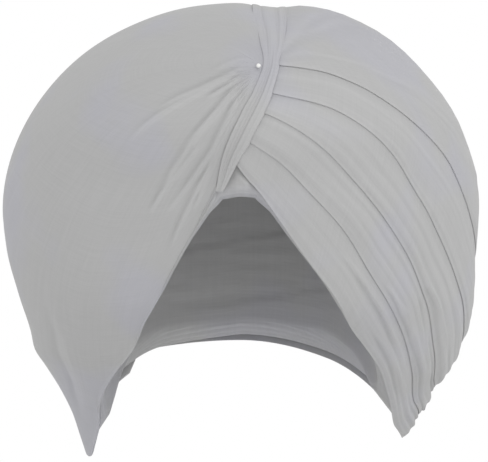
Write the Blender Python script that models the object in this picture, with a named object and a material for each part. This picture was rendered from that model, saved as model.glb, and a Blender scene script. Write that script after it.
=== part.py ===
"""A tied turban (pagri), as worn: turns of folded cloth wound round a wound core that is hollow for the head.

Metres, +Z up, the face opening towards -Y. The origin is where the crown of the head meets the hollow.
Every layer lies a set depth under one outer form. A point of a layer is found along a ray from a centre
inside the head: the direction says where on the form it is, and the depth says which layer it belongs to.
"""

import math

import bmesh
import bpy
import numpy as np
from mathutils import Vector

# Outer form
TURBAN_WIDTH = 0.285
FRONT_REACH = 0.138
BACK_REACH = 0.150
CROWN_THICKNESS = 0.054
SIDE_WIDEST_BELOW = 0.071
FRONT_WIDEST_BELOW = 0.021
BACK_WIDEST_BELOW = 0.050
TIP_BELOW = 0.2154
TIP_LEAN = 0.042

# Hollow for the head
HEAD_WIDTH = 0.164
HEAD_LENGTH = 0.202
HEAD_WIDEST_BELOW = 0.080
CORE_LEAST_WALL = 0.0032

# Folded cloth
TURN_THICKNESS = 0.0022
COVER_THICKNESS = 0.0024
TURN_GAP = 0.0010
LAYER_GAP = 0.0010
CORE_GAP = 0.0014
LEFT_CORE_GAP = 0.0026
UNDER_COVER_GAP = 0.0030
TURN_PUFF = 0.0016
TOP_TURN_SWELL = 0.0048
TUCK_WIDTH = 0.012
COVER_OVERLAP = 0.013
JOINT_CLEARANCE = 0.0024

# Front pleat
PLEAT_GAP = 0.0016
PLEAT_THICKNESS = 0.0034
PLEAT_LEAST_THICKNESS = 0.0016
PLEAT_CROWN_WIDTH = 0.0215
PLEAT_GROOVE_DEPTH = 0.0034
PLEAT_GROOVE_SPREAD = 0.0115
CORE_GROOVE_SPREAD = 2 * PLEAT_GROOVE_SPREAD

# Pin
PIN_HEAD_DIAMETER = 0.0026
PIN_SHANK_DIAMETER = 0.0008
PIN_LENGTH = 0.024
PIN_HOLE_CLEARANCE = 0.0003

# The centre that all rays start from
CENTRE = np.array([0.0, 0.06 * FRONT_REACH, -1.056 * SIDE_WIDEST_BELOW])

# Below its widest level the form narrows. Drop is the share of the way down to the tips.
SIDE_PROFILE = (
    ("drop", "left", "right"),
    (0.00, 1.000, 1.000),
    (0.15, 0.989, 0.997),
    (0.35, 0.937, 0.986),
    (0.50, 0.889, 0.958),
    (0.57, 0.874, 0.935),
    (0.65, 0.824, 0.897),
    (0.75, 0.762, 0.822),
    (0.85, 0.714, 0.768),
    (0.95, 0.682, 0.700),
    (1.20, 0.600, 0.600),
)
DEPTH_PROFILE = (
    ("drop", "front", "back"),
    (0.00, 1.000, 1.000),
    (0.20, 0.870, 0.970),
    (0.36, 0.800, 0.870),
    (0.53, 0.765, 0.700),
    (0.69, 0.620, 0.570),
    (0.85, 0.500, 0.480),
    (1.20, 0.400, 0.380),
)

# Lower edges of the turns on the right, as elevations in degrees at azimuths from the front round to the back.
# The first column is the lower edge of the turban, and the others are the fold edges above it.
FOLD_LINES = (
    ("azimuth", "rim", "second", "third", "fourth", "fifth"),
    (-3.0, 15.0, 18.0, 24.0, 28.0, 34.2),
    (1.0, 10.3, 17.1, 23.2, 27.5, 34.1),
    (5.0, 6.3, 15.3, 22.3, 26.9, 34.0),
    (10.0, 0.0, 12.7, 20.4, 26.0, 33.7),
    (20.0, -12.3, 4.6, 15.4, 24.1, 32.8),
    (30.0, -22.8, -4.5, 8.5, 19.9, 30.0),
    (40.0, -32.7, -15.9, -0.3, 13.8, 25.4),
    (50.0, -38.5, -24.9, -9.9, 4.6, 19.9),
    (60.0, -43.0, -32.0, -21.0, -5.1, 13.8),
    (75.0, -49.3, -41.0, -33.0, -18.3, -0.3),
    (90.0, -53.4, -46.6, -40.0, -27.5, -9.5),
    (102.0, -53.0, -47.0, -41.0, -31.0, -14.5),
    (120.0, -47.5, -42.0, -36.5, -28.5, -16.0),
    (150.0, -39.0, -33.0, -26.5, -18.5, -7.0),
    (180.0, -36.0, -28.0, -19.5, -9.5, 2.0),
    (230.0, -37.5, -28.5, -19.5, -9.0, 4.0),
)

# Lower edge on the left, by the angle turned from the front towards the left.
LEFT_RIM = (
    ("turned", "elevation"),
    (0.0, 13.5),
    (6.0, 5.8),
    (15.0, -7.0),
    (23.0, -19.0),
    (26.0, -23.5),
    (38.0, -35.2),
    (45.0, -41.0),
    (58.0, -46.3),
    (78.0, -52.2),
    (89.0, -56.3),
    (100.0, -57.3),
    (108.0, -55.4),
    (120.0, -49.5),
    (135.0, -43.0),
    (150.0, -39.0),
    (180.0, -36.0),
)

# The short straight edge of the core above the brow.
BROW_EDGE = (
    ("azimuth", "elevation"),
    (-6.0, 6.0),
    (0.0, 7.0),
    (5.0, 6.6),
)

# How the top turn swells out between its two edges, as a share of its swell.
TOP_TURN_SECTION = (
    ("up", "swell"),
    (0.00, 0.00),
    (0.14, 0.08),
    (0.30, 0.22),
    (0.47, 0.50),
    (0.65, 0.92),
    (0.74, 1.00),
    (0.88, 0.50),
    (1.00, 0.00),
)
TURN_ROWS = (0.0, 0.3, 0.62, 1.0)

# The pleat's line over the head. Pitch runs from the front, over the crown, to the back, and side is
# towards +X. Width is a share of the pleat's width at the crown.
PLEAT_LINE = (
    ("pitch", "side", "width"),
    (6.6, -5.3, 0.26),
    (13.0, -2.5, 0.46),
    (17.0, -0.2, 0.55),
    (22.5, 2.7, 0.56),
    (27.0, 4.6, 0.46),
    (33.7, 6.3, 0.38),
    (41.0, 6.8, 0.62),
    (60.0, 7.2, 0.92),
    (85.0, 7.9, 1.00),
    (110.0, 6.0, 0.74),
    (122.0, 4.4, 0.34),
    (145.0, 0.0, 0.30),
)
PLEAT_GATHER_PITCH = 33.7
PLEAT_END_PITCH = 121.0
PLEAT_FADE = 22.0

# Height of the pleat's creases across it, as shares of its half width and of its thickness.
PLEAT_CREASES = (
    ("across", "height"),
    (-1.00, 0.15),
    (-0.66, 0.70),
    (-0.34, 0.45),
    (-0.02, 0.85),
    (0.28, 0.62),
    (0.44, 0.50),
    (0.70, 1.00),
    (1.00, 0.45),
)

# The back edge of the cover, where it lies over the ends of the turns.
BACK_SEAM = (
    ("elevation", "azimuth"),
    (-50.0, 221.0),
    (-36.0, 216.0),
    (-20.0, 207.0),
    (0.0, 196.0),
    (20.0, 187.0),
    (35.0, 181.0),
    (50.0, 177.0),
    (65.0, 172.0),
)

# Gathers that fan out over the cover. Angle is degrees below a level line to the left, spread is half the
# fold's width in degrees, height is a share of the cover's thickness, and reach is degrees from the pin.
GATHERS = (
    ("angle", "spread", "height", "reach"),
    (12.0, 4.0, 0.30, 26.0),
    (25.0, 2.6, 0.75, 40.0),
    (33.0, 2.4, 0.55, 46.0),
    (43.0, 3.0, 0.30, 30.0),
    (53.0, 2.0, 0.75, 62.0),
    (58.5, 1.6, 0.60, 66.0),
    (64.0, 1.6, 0.45, 58.0),
)

CLOTH_GREY = (0.445, 0.445, 0.452, 1.0)
CORE_GREY = (0.40, 0.40, 0.405, 1.0)
PIN_WHITE = (0.86, 0.86, 0.84, 1.0)

TURN_NAMES = ("right_turn_1", "right_turn_2", "right_turn_3", "right_turn_4", "right_turn_5")
TURN_STEPS = 28
RIM_SPOKES = 17
SEAM_SPOKES = 18
COVER_RINGS = 13
FAN_START = 70.0
FAN_END = -88.0
COVER_RIM_START = 6.5
COVER_RIM_END = 140.0
SEAM_TOP_ELEVATION = 40.0
CORE_SIDES = 52


def column(table, name):
    index = table[0].index(name)
    return np.array([row[index] for row in table[1:]], float)


def curve_through(table, key, name, level_start=False):
    """A smooth curve through one column of a table, with no overshoot between its rows."""
    xs = column(table, key)
    ys = column(table, name)
    slopes = np.diff(ys) / np.diff(xs)
    tangents = np.zeros_like(ys)
    before, after = slopes[:-1], slopes[1:]
    same_way = before * after > 0
    total = np.where(same_way, before + after, 1.0)
    tangents[1:-1] = np.where(same_way, 2 * before * after / total, 0.0)
    tangents[0] = 0.0 if level_start else slopes[0]
    tangents[-1] = slopes[-1]

    def value(x):
        x = np.clip(x, xs[0], xs[-1])
        i = np.clip(np.searchsorted(xs, x, side="right") - 1, 0, len(xs) - 2)
        width = xs[i + 1] - xs[i]
        t = (x - xs[i]) / width
        start = (2 * t**3 - 3 * t**2 + 1) * ys[i] + (t**3 - 2 * t**2 + t) * width * tangents[i]
        end = (3 * t**2 - 2 * t**3) * ys[i + 1] + (t**3 - t**2) * width * tangents[i + 1]
        return start + end

    return value


def ease(x, low, high):
    """0 below low, 1 above high, and smooth between."""
    t = np.clip((np.asarray(x, float) - low) / (high - low), 0.0, 1.0)
    return t * t * (3 - 2 * t)


def mix(a, b, t):
    return a + (b - a) * t


left_share = curve_through(SIDE_PROFILE, "drop", "left", level_start=True)
right_share = curve_through(SIDE_PROFILE, "drop", "right", level_start=True)
front_share = curve_through(DEPTH_PROFILE, "drop", "front", level_start=True)
back_share = curve_through(DEPTH_PROFILE, "drop", "back", level_start=True)
fold_elevations = [curve_through(FOLD_LINES, "azimuth", name) for name in FOLD_LINES[0][1:]]
left_rim = curve_through(LEFT_RIM, "turned", "elevation")
brow_edge = curve_through(BROW_EDGE, "azimuth", "elevation")
pleat_side = curve_through(PLEAT_LINE, "pitch", "side")
pleat_width = curve_through(PLEAT_LINE, "pitch", "width")
pleat_height = curve_through(PLEAT_CREASES, "across", "height")
back_seam = curve_through(BACK_SEAM, "elevation", "azimuth")
top_turn_swell = curve_through(TOP_TURN_SECTION, "up", "swell")


def dome_share(height, widest_below):
    """Share of the full reach at a height above the widest level."""
    rise = (height + widest_below) / (CROWN_THICKNESS + widest_below)
    return np.sqrt(np.clip(1 - rise**2, 1e-9, 1.0))


def drop_share(height, widest_below):
    most_drop = 1.2
    return np.clip((-widest_below - height) / (TIP_BELOW - widest_below), 0.0, most_drop)


def profile(height, widest_below, lower_share):
    above = height >= -widest_below
    return np.where(above, dome_share(height, widest_below), lower_share(drop_share(height, widest_below)))


def outside_form(point):
    """Negative inside the outer form, positive outside it."""
    x, y, z = point[..., 0], point[..., 1], point[..., 2]
    left = profile(z, SIDE_WIDEST_BELOW, left_share)
    right = profile(z, SIDE_WIDEST_BELOW, right_share)
    half_width = TURBAN_WIDTH / 2 * np.where(x < 0, left, right)
    lean_power = 1.3
    behind = y - TIP_LEAN * drop_share(z, SIDE_WIDEST_BELOW) ** lean_power
    front = FRONT_REACH * profile(z, FRONT_WIDEST_BELOW, front_share)
    back = BACK_REACH * profile(z, BACK_WIDEST_BELOW, back_share)
    form = (x / half_width) ** 2 + (behind / np.where(behind < 0, front, back)) ** 2 - 1
    return np.where(z > CROWN_THICKNESS, 1.0, form)


def outside_head(point):
    """Negative inside the head's hollow, which is a dome on an oval tube."""
    x, y, z = point[..., 0], point[..., 1], point[..., 2]
    rise = np.clip(z + HEAD_WIDEST_BELOW, 0.0, None) / HEAD_WIDEST_BELOW
    return (x / (HEAD_WIDTH / 2)) ** 2 + (y / (HEAD_LENGTH / 2)) ** 2 + rise**2 - 1


def ray_length(directions, outside):
    """Distance from the centre to a surface, by halving."""
    near = np.zeros(directions.shape[:-1])
    far = np.full(directions.shape[:-1], 2 * (TURBAN_WIDTH + TIP_BELOW))
    for _ in range(48):
        middle = (near + far) / 2
        inside = outside(CENTRE + middle[..., None] * directions) < 0
        near = np.where(inside, middle, near)
        far = np.where(inside, far, middle)
    return near


def toward(azimuth, elevation):
    """Direction by azimuth from the front towards +X, and elevation, in degrees."""
    a, e = np.radians(azimuth), np.radians(elevation)
    return np.stack([np.sin(a) * np.cos(e), -np.cos(a) * np.cos(e), np.sin(e) + 0 * a], -1)


def toward_pitch(pitch, side):
    """Direction by pitch from the front over the crown, and side angle towards +X, in degrees."""
    p, s = np.radians(pitch), np.radians(side)
    return np.stack([np.sin(s) + 0 * p, -np.cos(s) * np.cos(p), np.cos(s) * np.sin(p)], -1)


def unit(vectors):
    return vectors / np.linalg.norm(vectors, axis=-1, keepdims=True)


def azimuth_of(directions):
    return np.degrees(np.arctan2(directions[..., 0], -directions[..., 1]))


def elevation_of(directions):
    return np.degrees(np.arcsin(np.clip(directions[..., 2], -1.0, 1.0)))


def slant(directions, points):
    """Cosine of the angle between each ray and the form's own normal where the ray meets it."""
    probe = 0.2 * TURN_THICKNESS
    steepest = 0.5
    slopes = []
    for axis in np.eye(3):
        slopes.append(outside_form(points + probe * axis) - outside_form(points - probe * axis))
    normals = unit(np.stack(slopes, -1))
    return np.clip((normals * directions).sum(-1), steepest, 1.0)


def at_depth(directions, depth):
    """Points on the form, set in by a depth square to it. A negative depth stands proud."""
    directions = unit(directions)
    length = ray_length(directions, outside_form)
    just_inside = CENTRE + (length - TURN_THICKNESS)[..., None] * directions
    return CENTRE + (length - depth / slant(directions, just_inside))[..., None] * directions


def degrees_across(length, directions):
    """The angle that a length takes up on the form in these directions."""
    return np.degrees(length / ray_length(unit(directions), outside_form))


# Depths of the layers
TURN_STEP = TURN_THICKNESS + TURN_GAP
TURN_DEEPEST = 1.5 * TURN_STEP + TURN_THICKNESS
LEFT_TURN_DEPTH = COVER_THICKNESS + UNDER_COVER_GAP
LEFT_TURN_BACK = LEFT_TURN_DEPTH + TURN_THICKNESS
COVER_RAISE = COVER_THICKNESS + LAYER_GAP


def pleat_azimuth(elevation):
    """Azimuth of the pleat's line in front of the crown."""
    pitches = np.linspace(PLEAT_LINE[1][0], 70.0, 64)
    line = toward_pitch(pitches, pleat_side(pitches))
    return np.interp(elevation, elevation_of(line), azimuth_of(line))


def pleat_groove(directions, spread=PLEAT_GROOVE_SPREAD):
    """How deep the layers under the pleat are drawn in, where it lies over the crown."""
    pitch = np.degrees(np.arctan2(directions[..., 2], -directions[..., 1]))
    side = np.degrees(np.arcsin(np.clip(directions[..., 0], -1.0, 1.0)))
    aside = (side - pleat_side(pitch)) / degrees_across(spread, directions)
    over_crown = ease(pitch, 36.0, 58.0) * (1 - ease(pitch, 96.0, 112.0))
    return PLEAT_GROOVE_DEPTH * np.exp(-(aside**2)) * over_crown


def turn_ends(index):
    """Azimuths at which a fold line leaves the pleat in front and goes under the cover behind."""
    line = fold_elevations[index]
    start = 0.0
    end = 200.0
    for _ in range(12):
        low = line(start)
        start = pleat_azimuth(low) + degrees_across(JOINT_CLEARANCE, toward(start, low))
        high = line(end)
        end = back_seam(high) + degrees_across(COVER_OVERLAP, toward(end, high))
    return float(start), float(end)


def crown_line(share):
    """The upper edge of the top turn, from the front over the crown to under the cover behind."""
    under_cover = 140.0
    start_pitch = 38.0
    pitch = mix(start_pitch, under_cover, share)
    clear = degrees_across(JOINT_CLEARANCE, toward_pitch(pitch, pleat_side(pitch)))
    overlap = degrees_across(COVER_OVERLAP, toward_pitch(pitch, pleat_side(pitch)))
    side = pleat_side(pitch) + mix(clear, -overlap, ease(pitch, 124.0, under_cover))
    return toward_pitch(pitch, side)


def fold_line(index, share):
    """Directions along a fold line. The last index is the upper edge of the top turn."""
    if index == len(TURN_NAMES):
        return crown_line(share)
    start, end = turn_ends(index)
    azimuth = mix(start, end, share)
    return toward(azimuth, fold_elevations[index](azimuth))


def add_grid(mesh, points, closed=False):
    """Quads over a grid of points. Returns the rows of vertices."""
    rows = [[mesh.verts.new(p) for p in row] for row in points]
    count = len(rows)
    for i in range(count if closed else count - 1):
        here, there = rows[i], rows[(i + 1) % count]
        for j in range(len(here) - 1):
            mesh.faces.new((here[j], there[j], there[j + 1], here[j + 1]))
    return rows


def join_loops(mesh, first, second):
    """Quads between two closed loops of vertices."""
    for i in range(len(first)):
        k = (i + 1) % len(first)
        mesh.faces.new((first[i], first[k], second[k], second[i]))


def border(rows):
    """The closed loop of entries round a grid."""
    bottom = [row[0] for row in rows]
    top = [row[-1] for row in reversed(rows)]
    return bottom + rows[-1][1:-1] + top + list(reversed(rows[0][1:-1]))


def finish(name, mesh, colour, roughness):
    """Makes the object of a sub-part, shaded smooth, with a material of its own."""
    bmesh.ops.recalc_face_normals(mesh, faces=mesh.faces)
    data = bpy.data.meshes.new(name)
    mesh.to_mesh(data)
    mesh.free()
    data.shade_smooth()
    data.set_sharp_from_angle(angle=math.radians(50.0))
    material = bpy.data.materials.new(name)
    material.use_nodes = True
    shader = material.node_tree.nodes["Principled BSDF"]
    shader.inputs["Base Color"].default_value = colour
    shader.inputs["Roughness"].default_value = roughness
    shader.inputs["Metallic"].default_value = 0.0
    data.materials.append(material)
    sub_part = bpy.data.objects.new(name, data)
    bpy.context.scene.collection.objects.link(sub_part)
    return sub_part


def cloth_solid(name, outer, inner, edge_round):
    """A closed wall of cloth between two grids, with a rounded fold all round its edge."""
    mesh = bmesh.new()
    outer_rows = add_grid(mesh, outer)
    inner_rows = add_grid(mesh, inner)
    middle = (outer + inner) / 2
    last_row, last_column = outer.shape[0] - 1, outer.shape[1] - 1
    places = [[(i, j) for j in range(last_column + 1)] for i in range(last_row + 1)]
    fold = []
    for i, j in border(places):
        inward = middle[min(max(i, 1), last_row - 1), min(max(j, 1), last_column - 1)]
        outward = Vector(middle[i, j] - inward).normalized()
        fold.append(mesh.verts.new(Vector(middle[i, j]) + outward * edge_round))
    join_loops(mesh, border(outer_rows), fold)
    join_loops(mesh, fold, border(inner_rows))
    return finish(name, mesh, CLOTH_GREY, 0.85)


def core_rim(azimuth):
    """Elevation of the core's lower edge, tucked up behind the edges of the turns."""
    tuck = 1.5
    right = fold_elevations[0](azimuth) + tuck * ease(azimuth, 5.0, 10.0)
    left = left_rim(-azimuth) + tuck * ease(-azimuth, 6.0, 11.0)
    brow = brow_edge(azimuth)
    return np.where(azimuth > 5.0, right, np.where(azimuth < -6.0, left, brow))


def core_depth(directions):
    """Depth of the core under the turns on the right, under the left turn, and at the crown."""
    azimuth = np.mod(azimuth_of(directions), 360.0)
    on_right = ease(azimuth, 3.0, 14.0) * (1 - ease(azimuth, 196.0, 212.0))
    below_crown = mix(LEFT_TURN_BACK + LEFT_CORE_GAP, TURN_DEEPEST + CORE_GAP, on_right)
    groove_in_core = pleat_groove(directions, CORE_GROOVE_SPREAD)
    at_crown = COVER_THICKNESS + CORE_GAP + groove_in_core
    return mix(below_crown, at_crown, ease(elevation_of(directions), 52.0, 64.0))


def make_core():
    """The wound inner turns: a thick wall from the head's hollow out to the turns that show."""
    front_share_of_sides = 0.6
    turn = np.linspace(-1.0, 1.0, CORE_SIDES + 1)[:-1]
    azimuth = 180.0 * (front_share_of_sides * turn + (1 - front_share_of_sides) * turn**3)
    rim = core_rim(azimuth)
    outer_rise = np.linspace(0.0, 1.0, 11)[:-1]
    inner_rise = np.linspace(0.0, 1.0, 9)[:-1]
    pole = np.array([0.0, 0.0, 1.0])

    def rays(rise):
        return toward(azimuth[:, None], mix(rim[:, None], 90.0, rise[None, :]))

    def outer_points(directions):
        return at_depth(directions, core_depth(directions))

    def inner_points(directions):
        hollow = ray_length(directions, outside_head)
        most = np.linalg.norm(at_depth(directions, core_depth(directions) + CORE_LEAST_WALL) - CENTRE, axis=-1)
        return CENTRE + np.minimum(hollow, most)[..., None] * directions

    mesh = bmesh.new()
    skins = []
    for points_on, rise in ((outer_points, outer_rise), (inner_points, inner_rise)):
        rows = add_grid(mesh, points_on(rays(rise)), closed=True)
        top = mesh.verts.new(points_on(pole[None, :])[0])
        for i in range(len(rows)):
            mesh.faces.new((rows[i][-1], rows[(i + 1) % len(rows)][-1], top))
        skins.append(rows)
    join_loops(mesh, [row[0] for row in skins[0]], [row[0] for row in skins[1]])
    return finish("inner_turns", mesh, CORE_GREY, 0.9)


def flat_at_ends(along):
    """1 along the middle of a turn, and 0 where its ends go under the pleat and the cover."""
    return ease(along, 0.02, 0.14) * (1 - ease(along, 0.86, 0.98))


def lower_turn_grid(index, along):
    """Directions over one of the lower turns and its depth. It goes down as it goes up under the next one."""
    lower, upper, above = (fold_line(index + k, along) for k in range(3))
    width = ray_length(unit(lower), outside_form) * np.linalg.norm(upper - lower, axis=-1)
    above_width = ray_length(unit(upper), outside_form) * np.linalg.norm(above - upper, axis=-1)
    most_tuck = 0.45
    tuck = np.clip(TUCK_WIDTH / above_width, 0.0, most_tuck)
    directions = [unit(mix(lower, upper, row)) for row in TURN_ROWS]
    directions.append(unit(mix(upper, above, tuck[:, None])))
    rise = np.stack([np.full_like(along, row) for row in TURN_ROWS] + [1 + tuck], 1)
    fullest = 0.06
    puff = np.minimum(TURN_PUFF, fullest * width) * flat_at_ends(along)
    return np.stack(directions, 1), TURN_STEP * rise - puff[:, None] * np.sin(np.pi * np.clip(rise, 0.0, 1.0))


def top_turn_grid(along):
    """Directions over the wide top turn and its depth. It swells over the side of the crown."""
    index = len(TURN_NAMES) - 1
    lower, upper = fold_line(index, along), fold_line(index + 1, along)
    rows = column(TOP_TURN_SECTION, "up")
    directions = np.stack([unit(mix(lower, upper, row)) for row in rows], 1)
    at_side = ease(along, 0.12, 0.36) * (1 - ease(along, 0.58, 0.80))
    swell = TOP_TURN_SWELL * top_turn_swell(rows)[None, :] * at_side[:, None]
    return directions, pleat_groove(directions) - swell


def make_right_turns():
    """The turns of folded cloth that show on the right, each lying over the top of the one below."""
    along = np.linspace(0.0, 1.0, TURN_STEPS + 1)
    for index, name in enumerate(TURN_NAMES):
        top = index == len(TURN_NAMES) - 1
        directions, depth = top_turn_grid(along) if top else lower_turn_grid(index, along)
        outer = at_depth(directions, depth)
        inner = at_depth(directions, depth + TURN_THICKNESS)
        cloth_solid(name, outer, inner, TURN_THICKNESS / 2)


def make_left_turn():
    """The last turn on the left, under the cover. Its lower edge is the turban's rim there."""
    top_elevation = 46.0
    across = np.linspace(0.0, 1.0, 29)[:, None]
    up = np.linspace(0.0, 1.0, 12)[None, :]
    front_low, back_low = float(left_rim(8.0)), float(left_rim(140.0))
    front_elevation = mix(front_low, top_elevation, up)
    back_elevation = mix(back_low, top_elevation, up)
    front = pleat_azimuth(front_elevation) - degrees_across(JOINT_CLEARANCE, toward(0.0 * up, front_elevation))
    behind_ends = COVER_OVERLAP + 2 * TURN_THICKNESS + LAYER_GAP
    seam = back_seam(back_elevation)
    back = seam + degrees_across(behind_ends, toward(seam, back_elevation)) - 360.0
    azimuth = mix(front, back, across)
    rim_share = 0.4
    rim_tuck = rim_share * ease(-azimuth, 8.0, 20.0)
    elevation = mix(left_rim(-azimuth) + rim_tuck, top_elevation, up)
    directions = toward(azimuth, elevation)
    outer = at_depth(directions, LEFT_TURN_DEPTH)
    inner = at_depth(directions, LEFT_TURN_BACK)
    cloth_solid("left_turn", outer, inner, TURN_THICKNESS / 2)


def cover_edge():
    """Directions round the cover's outer edge: along the rim from the front, then up the seam behind."""
    spread = np.linspace(0.0, 1.0, RIM_SPOKES)
    turned = mix(COVER_RIM_START, COVER_RIM_END, spread)
    rim = toward(-turned, left_rim(turned))
    seam_low = float(left_rim(COVER_RIM_END)) + 3.0
    elevation = np.linspace(seam_low, SEAM_TOP_ELEVATION, SEAM_SPOKES)
    seam = toward(back_seam(elevation), elevation)
    return np.concatenate([rim, seam])


def around(hub, angle, distance):
    """Directions at angles below a level line to the left of the hub, and at distances from it."""
    level = unit(np.cross(hub, np.array([0.0, 0.0, 1.0])))
    leftward = level if level[0] < 0 else -level
    upward = np.cross(hub, leftward)
    downward = upward if upward[2] < 0 else -upward
    a, d = np.radians(angle)[..., None], np.radians(distance)[..., None]
    return np.cos(d) * hub + np.sin(d) * (np.cos(a) * leftward + np.sin(a) * downward)


def beside_pleat(directions):
    """0 under the pleat and 1 a little way beside it."""
    half_width = PLEAT_CROWN_WIDTH / 2 * float(pleat_width(PLEAT_GATHER_PITCH))
    aside = (pleat_azimuth(elevation_of(directions)) - azimuth_of(directions))
    aside = aside * np.cos(np.radians(elevation_of(directions)))
    near = degrees_across(half_width + PLEAT_LEAST_THICKNESS, directions)
    return ease(aside, 1.4 * near, 3 * near)


def gather_height(angle, reach):
    """Height of the gathers at an angle round the pin and a distance from it, both in degrees."""
    height = np.zeros(np.broadcast(angle, reach).shape)
    for fold_at, spread, share, fold_reach in GATHERS[1:]:
        ridge = np.exp(-(((angle - fold_at) / spread) ** 2))
        fade = ease(reach, 3.0, 9.0) * (1 - ease(reach, 0.35 * fold_reach, fold_reach))
        height = height + share * COVER_THICKNESS * ridge * fade
    return height


def seam_raise(directions):
    """How far the cover stands proud where it lies over the ends of the turns behind, from 0 to 1."""
    azimuth = np.mod(azimuth_of(directions), 360.0)
    elevation = elevation_of(directions)
    past = azimuth - back_seam(elevation)
    over_ends = 1 - ease(past, degrees_across(COVER_OVERLAP + 3 * TURN_THICKNESS, directions), 26.0)
    behind = ease(azimuth, 100.0, 130.0) * (1 - ease(azimuth, 262.0, 290.0))
    return over_ends * behind * (1 - ease(elevation, 58.0, 66.0))


def beside_line(pitch):
    """Directions just left of the pleat's line, where the cover's front edge lies."""
    clear = degrees_across(JOINT_CLEARANCE, toward_pitch(pitch, pleat_side(pitch)))
    return toward_pitch(pitch, pleat_side(pitch) - clear)


def make_cover():
    """The cloth's last end, spread over the left side and gathered at the pin."""
    hub = beside_line(np.array(PLEAT_GATHER_PITCH))
    edge = cover_edge()
    first_ring = degrees_across(PIN_HEAD_DIAMETER / 2, hub)
    reach = np.degrees(np.arccos(edge @ hub))
    raised_band = degrees_across(2 * COVER_OVERLAP, hub)
    last_rings = (reach - np.minimum(raised_band, 0.3 * reach))[:, None]
    inner_rings = mix(first_ring, last_rings, np.linspace(0.0, 1.0, COVER_RINGS)[None, :] ** 1.15)
    outer_rings = mix(last_rings, reach[:, None], np.linspace(0.0, 1.0, 5)[None, 1:])
    distance = np.concatenate([inner_rings, outer_rings], 1)
    share = (distance / reach[:, None])[..., None]
    leaving = np.linspace(FAN_START, FAN_END, len(edge))
    bend = around(hub, leaving, 0.5 * reach)[:, None, :]
    directions = unit((1 - share) ** 2 * hub + 2 * share * (1 - share) * bend + share**2 * edge[:, None, :])

    spoke = np.arange(len(edge))[:, None, None]
    low_pitch, high_pitch = PLEAT_LINE[1][0], 140.0
    low_line = beside_line(mix(PLEAT_GATHER_PITCH, low_pitch, share[0, :, 0]))
    high_line = beside_line(mix(PLEAT_GATHER_PITCH, high_pitch, share[-1, :, 0]))
    low_shift = (low_line - directions[0])[None] * np.clip(1 - spoke / 1.5, 0.0, 1.0) ** 2
    high_shift = (high_line - directions[-1])[None] * np.clip(1 - (len(edge) - 1 - spoke) / 7.0, 0.0, 1.0) ** 2
    directions = unit(directions + low_shift + high_shift)
    ridges = gather_height(leaving[:, None], distance) * beside_pleat(directions)
    proud = COVER_RAISE * seam_raise(directions) + ridges - pleat_groove(directions)
    outer = at_depth(directions, -proud)
    inner = at_depth(directions, COVER_THICKNESS - proud)
    return cloth_solid("left_cover", outer, inner, COVER_THICKNESS / 2)


def make_pleat():
    """The gathered strip from the brow up past the pin and over the crown."""
    pitch = np.concatenate([np.linspace(PLEAT_LINE[1][0], 45.0, 19), np.linspace(50.0, PLEAT_END_PITCH, 16)])
    across = column(PLEAT_CREASES, "across")
    centre = toward_pitch(pitch, pleat_side(pitch))
    half_width = PLEAT_CROWN_WIDTH / 2 * pleat_width(pitch)
    side = pleat_side(pitch)[:, None] + degrees_across(half_width, centre)[:, None] * across[None, :]
    directions = toward_pitch(pitch[:, None], side)
    fade = ease(pitch, PLEAT_LINE[1][0], 14.0) * (1 - ease(pitch, PLEAT_END_PITCH - PLEAT_FADE, PLEAT_END_PITCH))
    crease = pleat_height(across)[None, :] * mix(0.35, 1.0, fade)[:, None]
    thickness = PLEAT_LEAST_THICKNESS + (PLEAT_THICKNESS - PLEAT_LEAST_THICKNESS) * crease
    seat = PLEAT_GAP + COVER_RAISE * ease(pitch, 100.0, 114.0)[:, None]
    bottom = pleat_groove(directions) - seat
    outer = at_depth(directions, bottom - thickness)
    inner = at_depth(directions, bottom)
    return cloth_solid("front_pleat", outer, inner, PLEAT_LEAST_THICKNESS / 2)


def pin_axis():
    """Where the pin enters the cover, and the way into the turban."""
    pitch = PLEAT_GATHER_PITCH
    centre = toward_pitch(pitch, pleat_side(pitch))
    aside = PLEAT_CROWN_WIDTH / 2 * pleat_width(pitch) + PIN_HEAD_DIAMETER
    direction = toward_pitch(pitch, pleat_side(pitch) - degrees_across(aside, centre))
    return at_depth(direction[None, :], np.zeros(1))[0], direction


def add_shaft(mesh, start, direction, radius, length):
    """A round bar from a point, along a direction."""
    turn = Vector(direction).to_track_quat("Z", "Y")
    middle = Vector(start) + Vector(direction) * (length / 2)
    made = bmesh.ops.create_cone(
        mesh, cap_ends=True, segments=10, radius1=radius, radius2=radius, depth=length
    )
    bmesh.ops.rotate(mesh, verts=made["verts"], matrix=turn.to_matrix())
    bmesh.ops.translate(mesh, verts=made["verts"], vec=middle)


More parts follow.
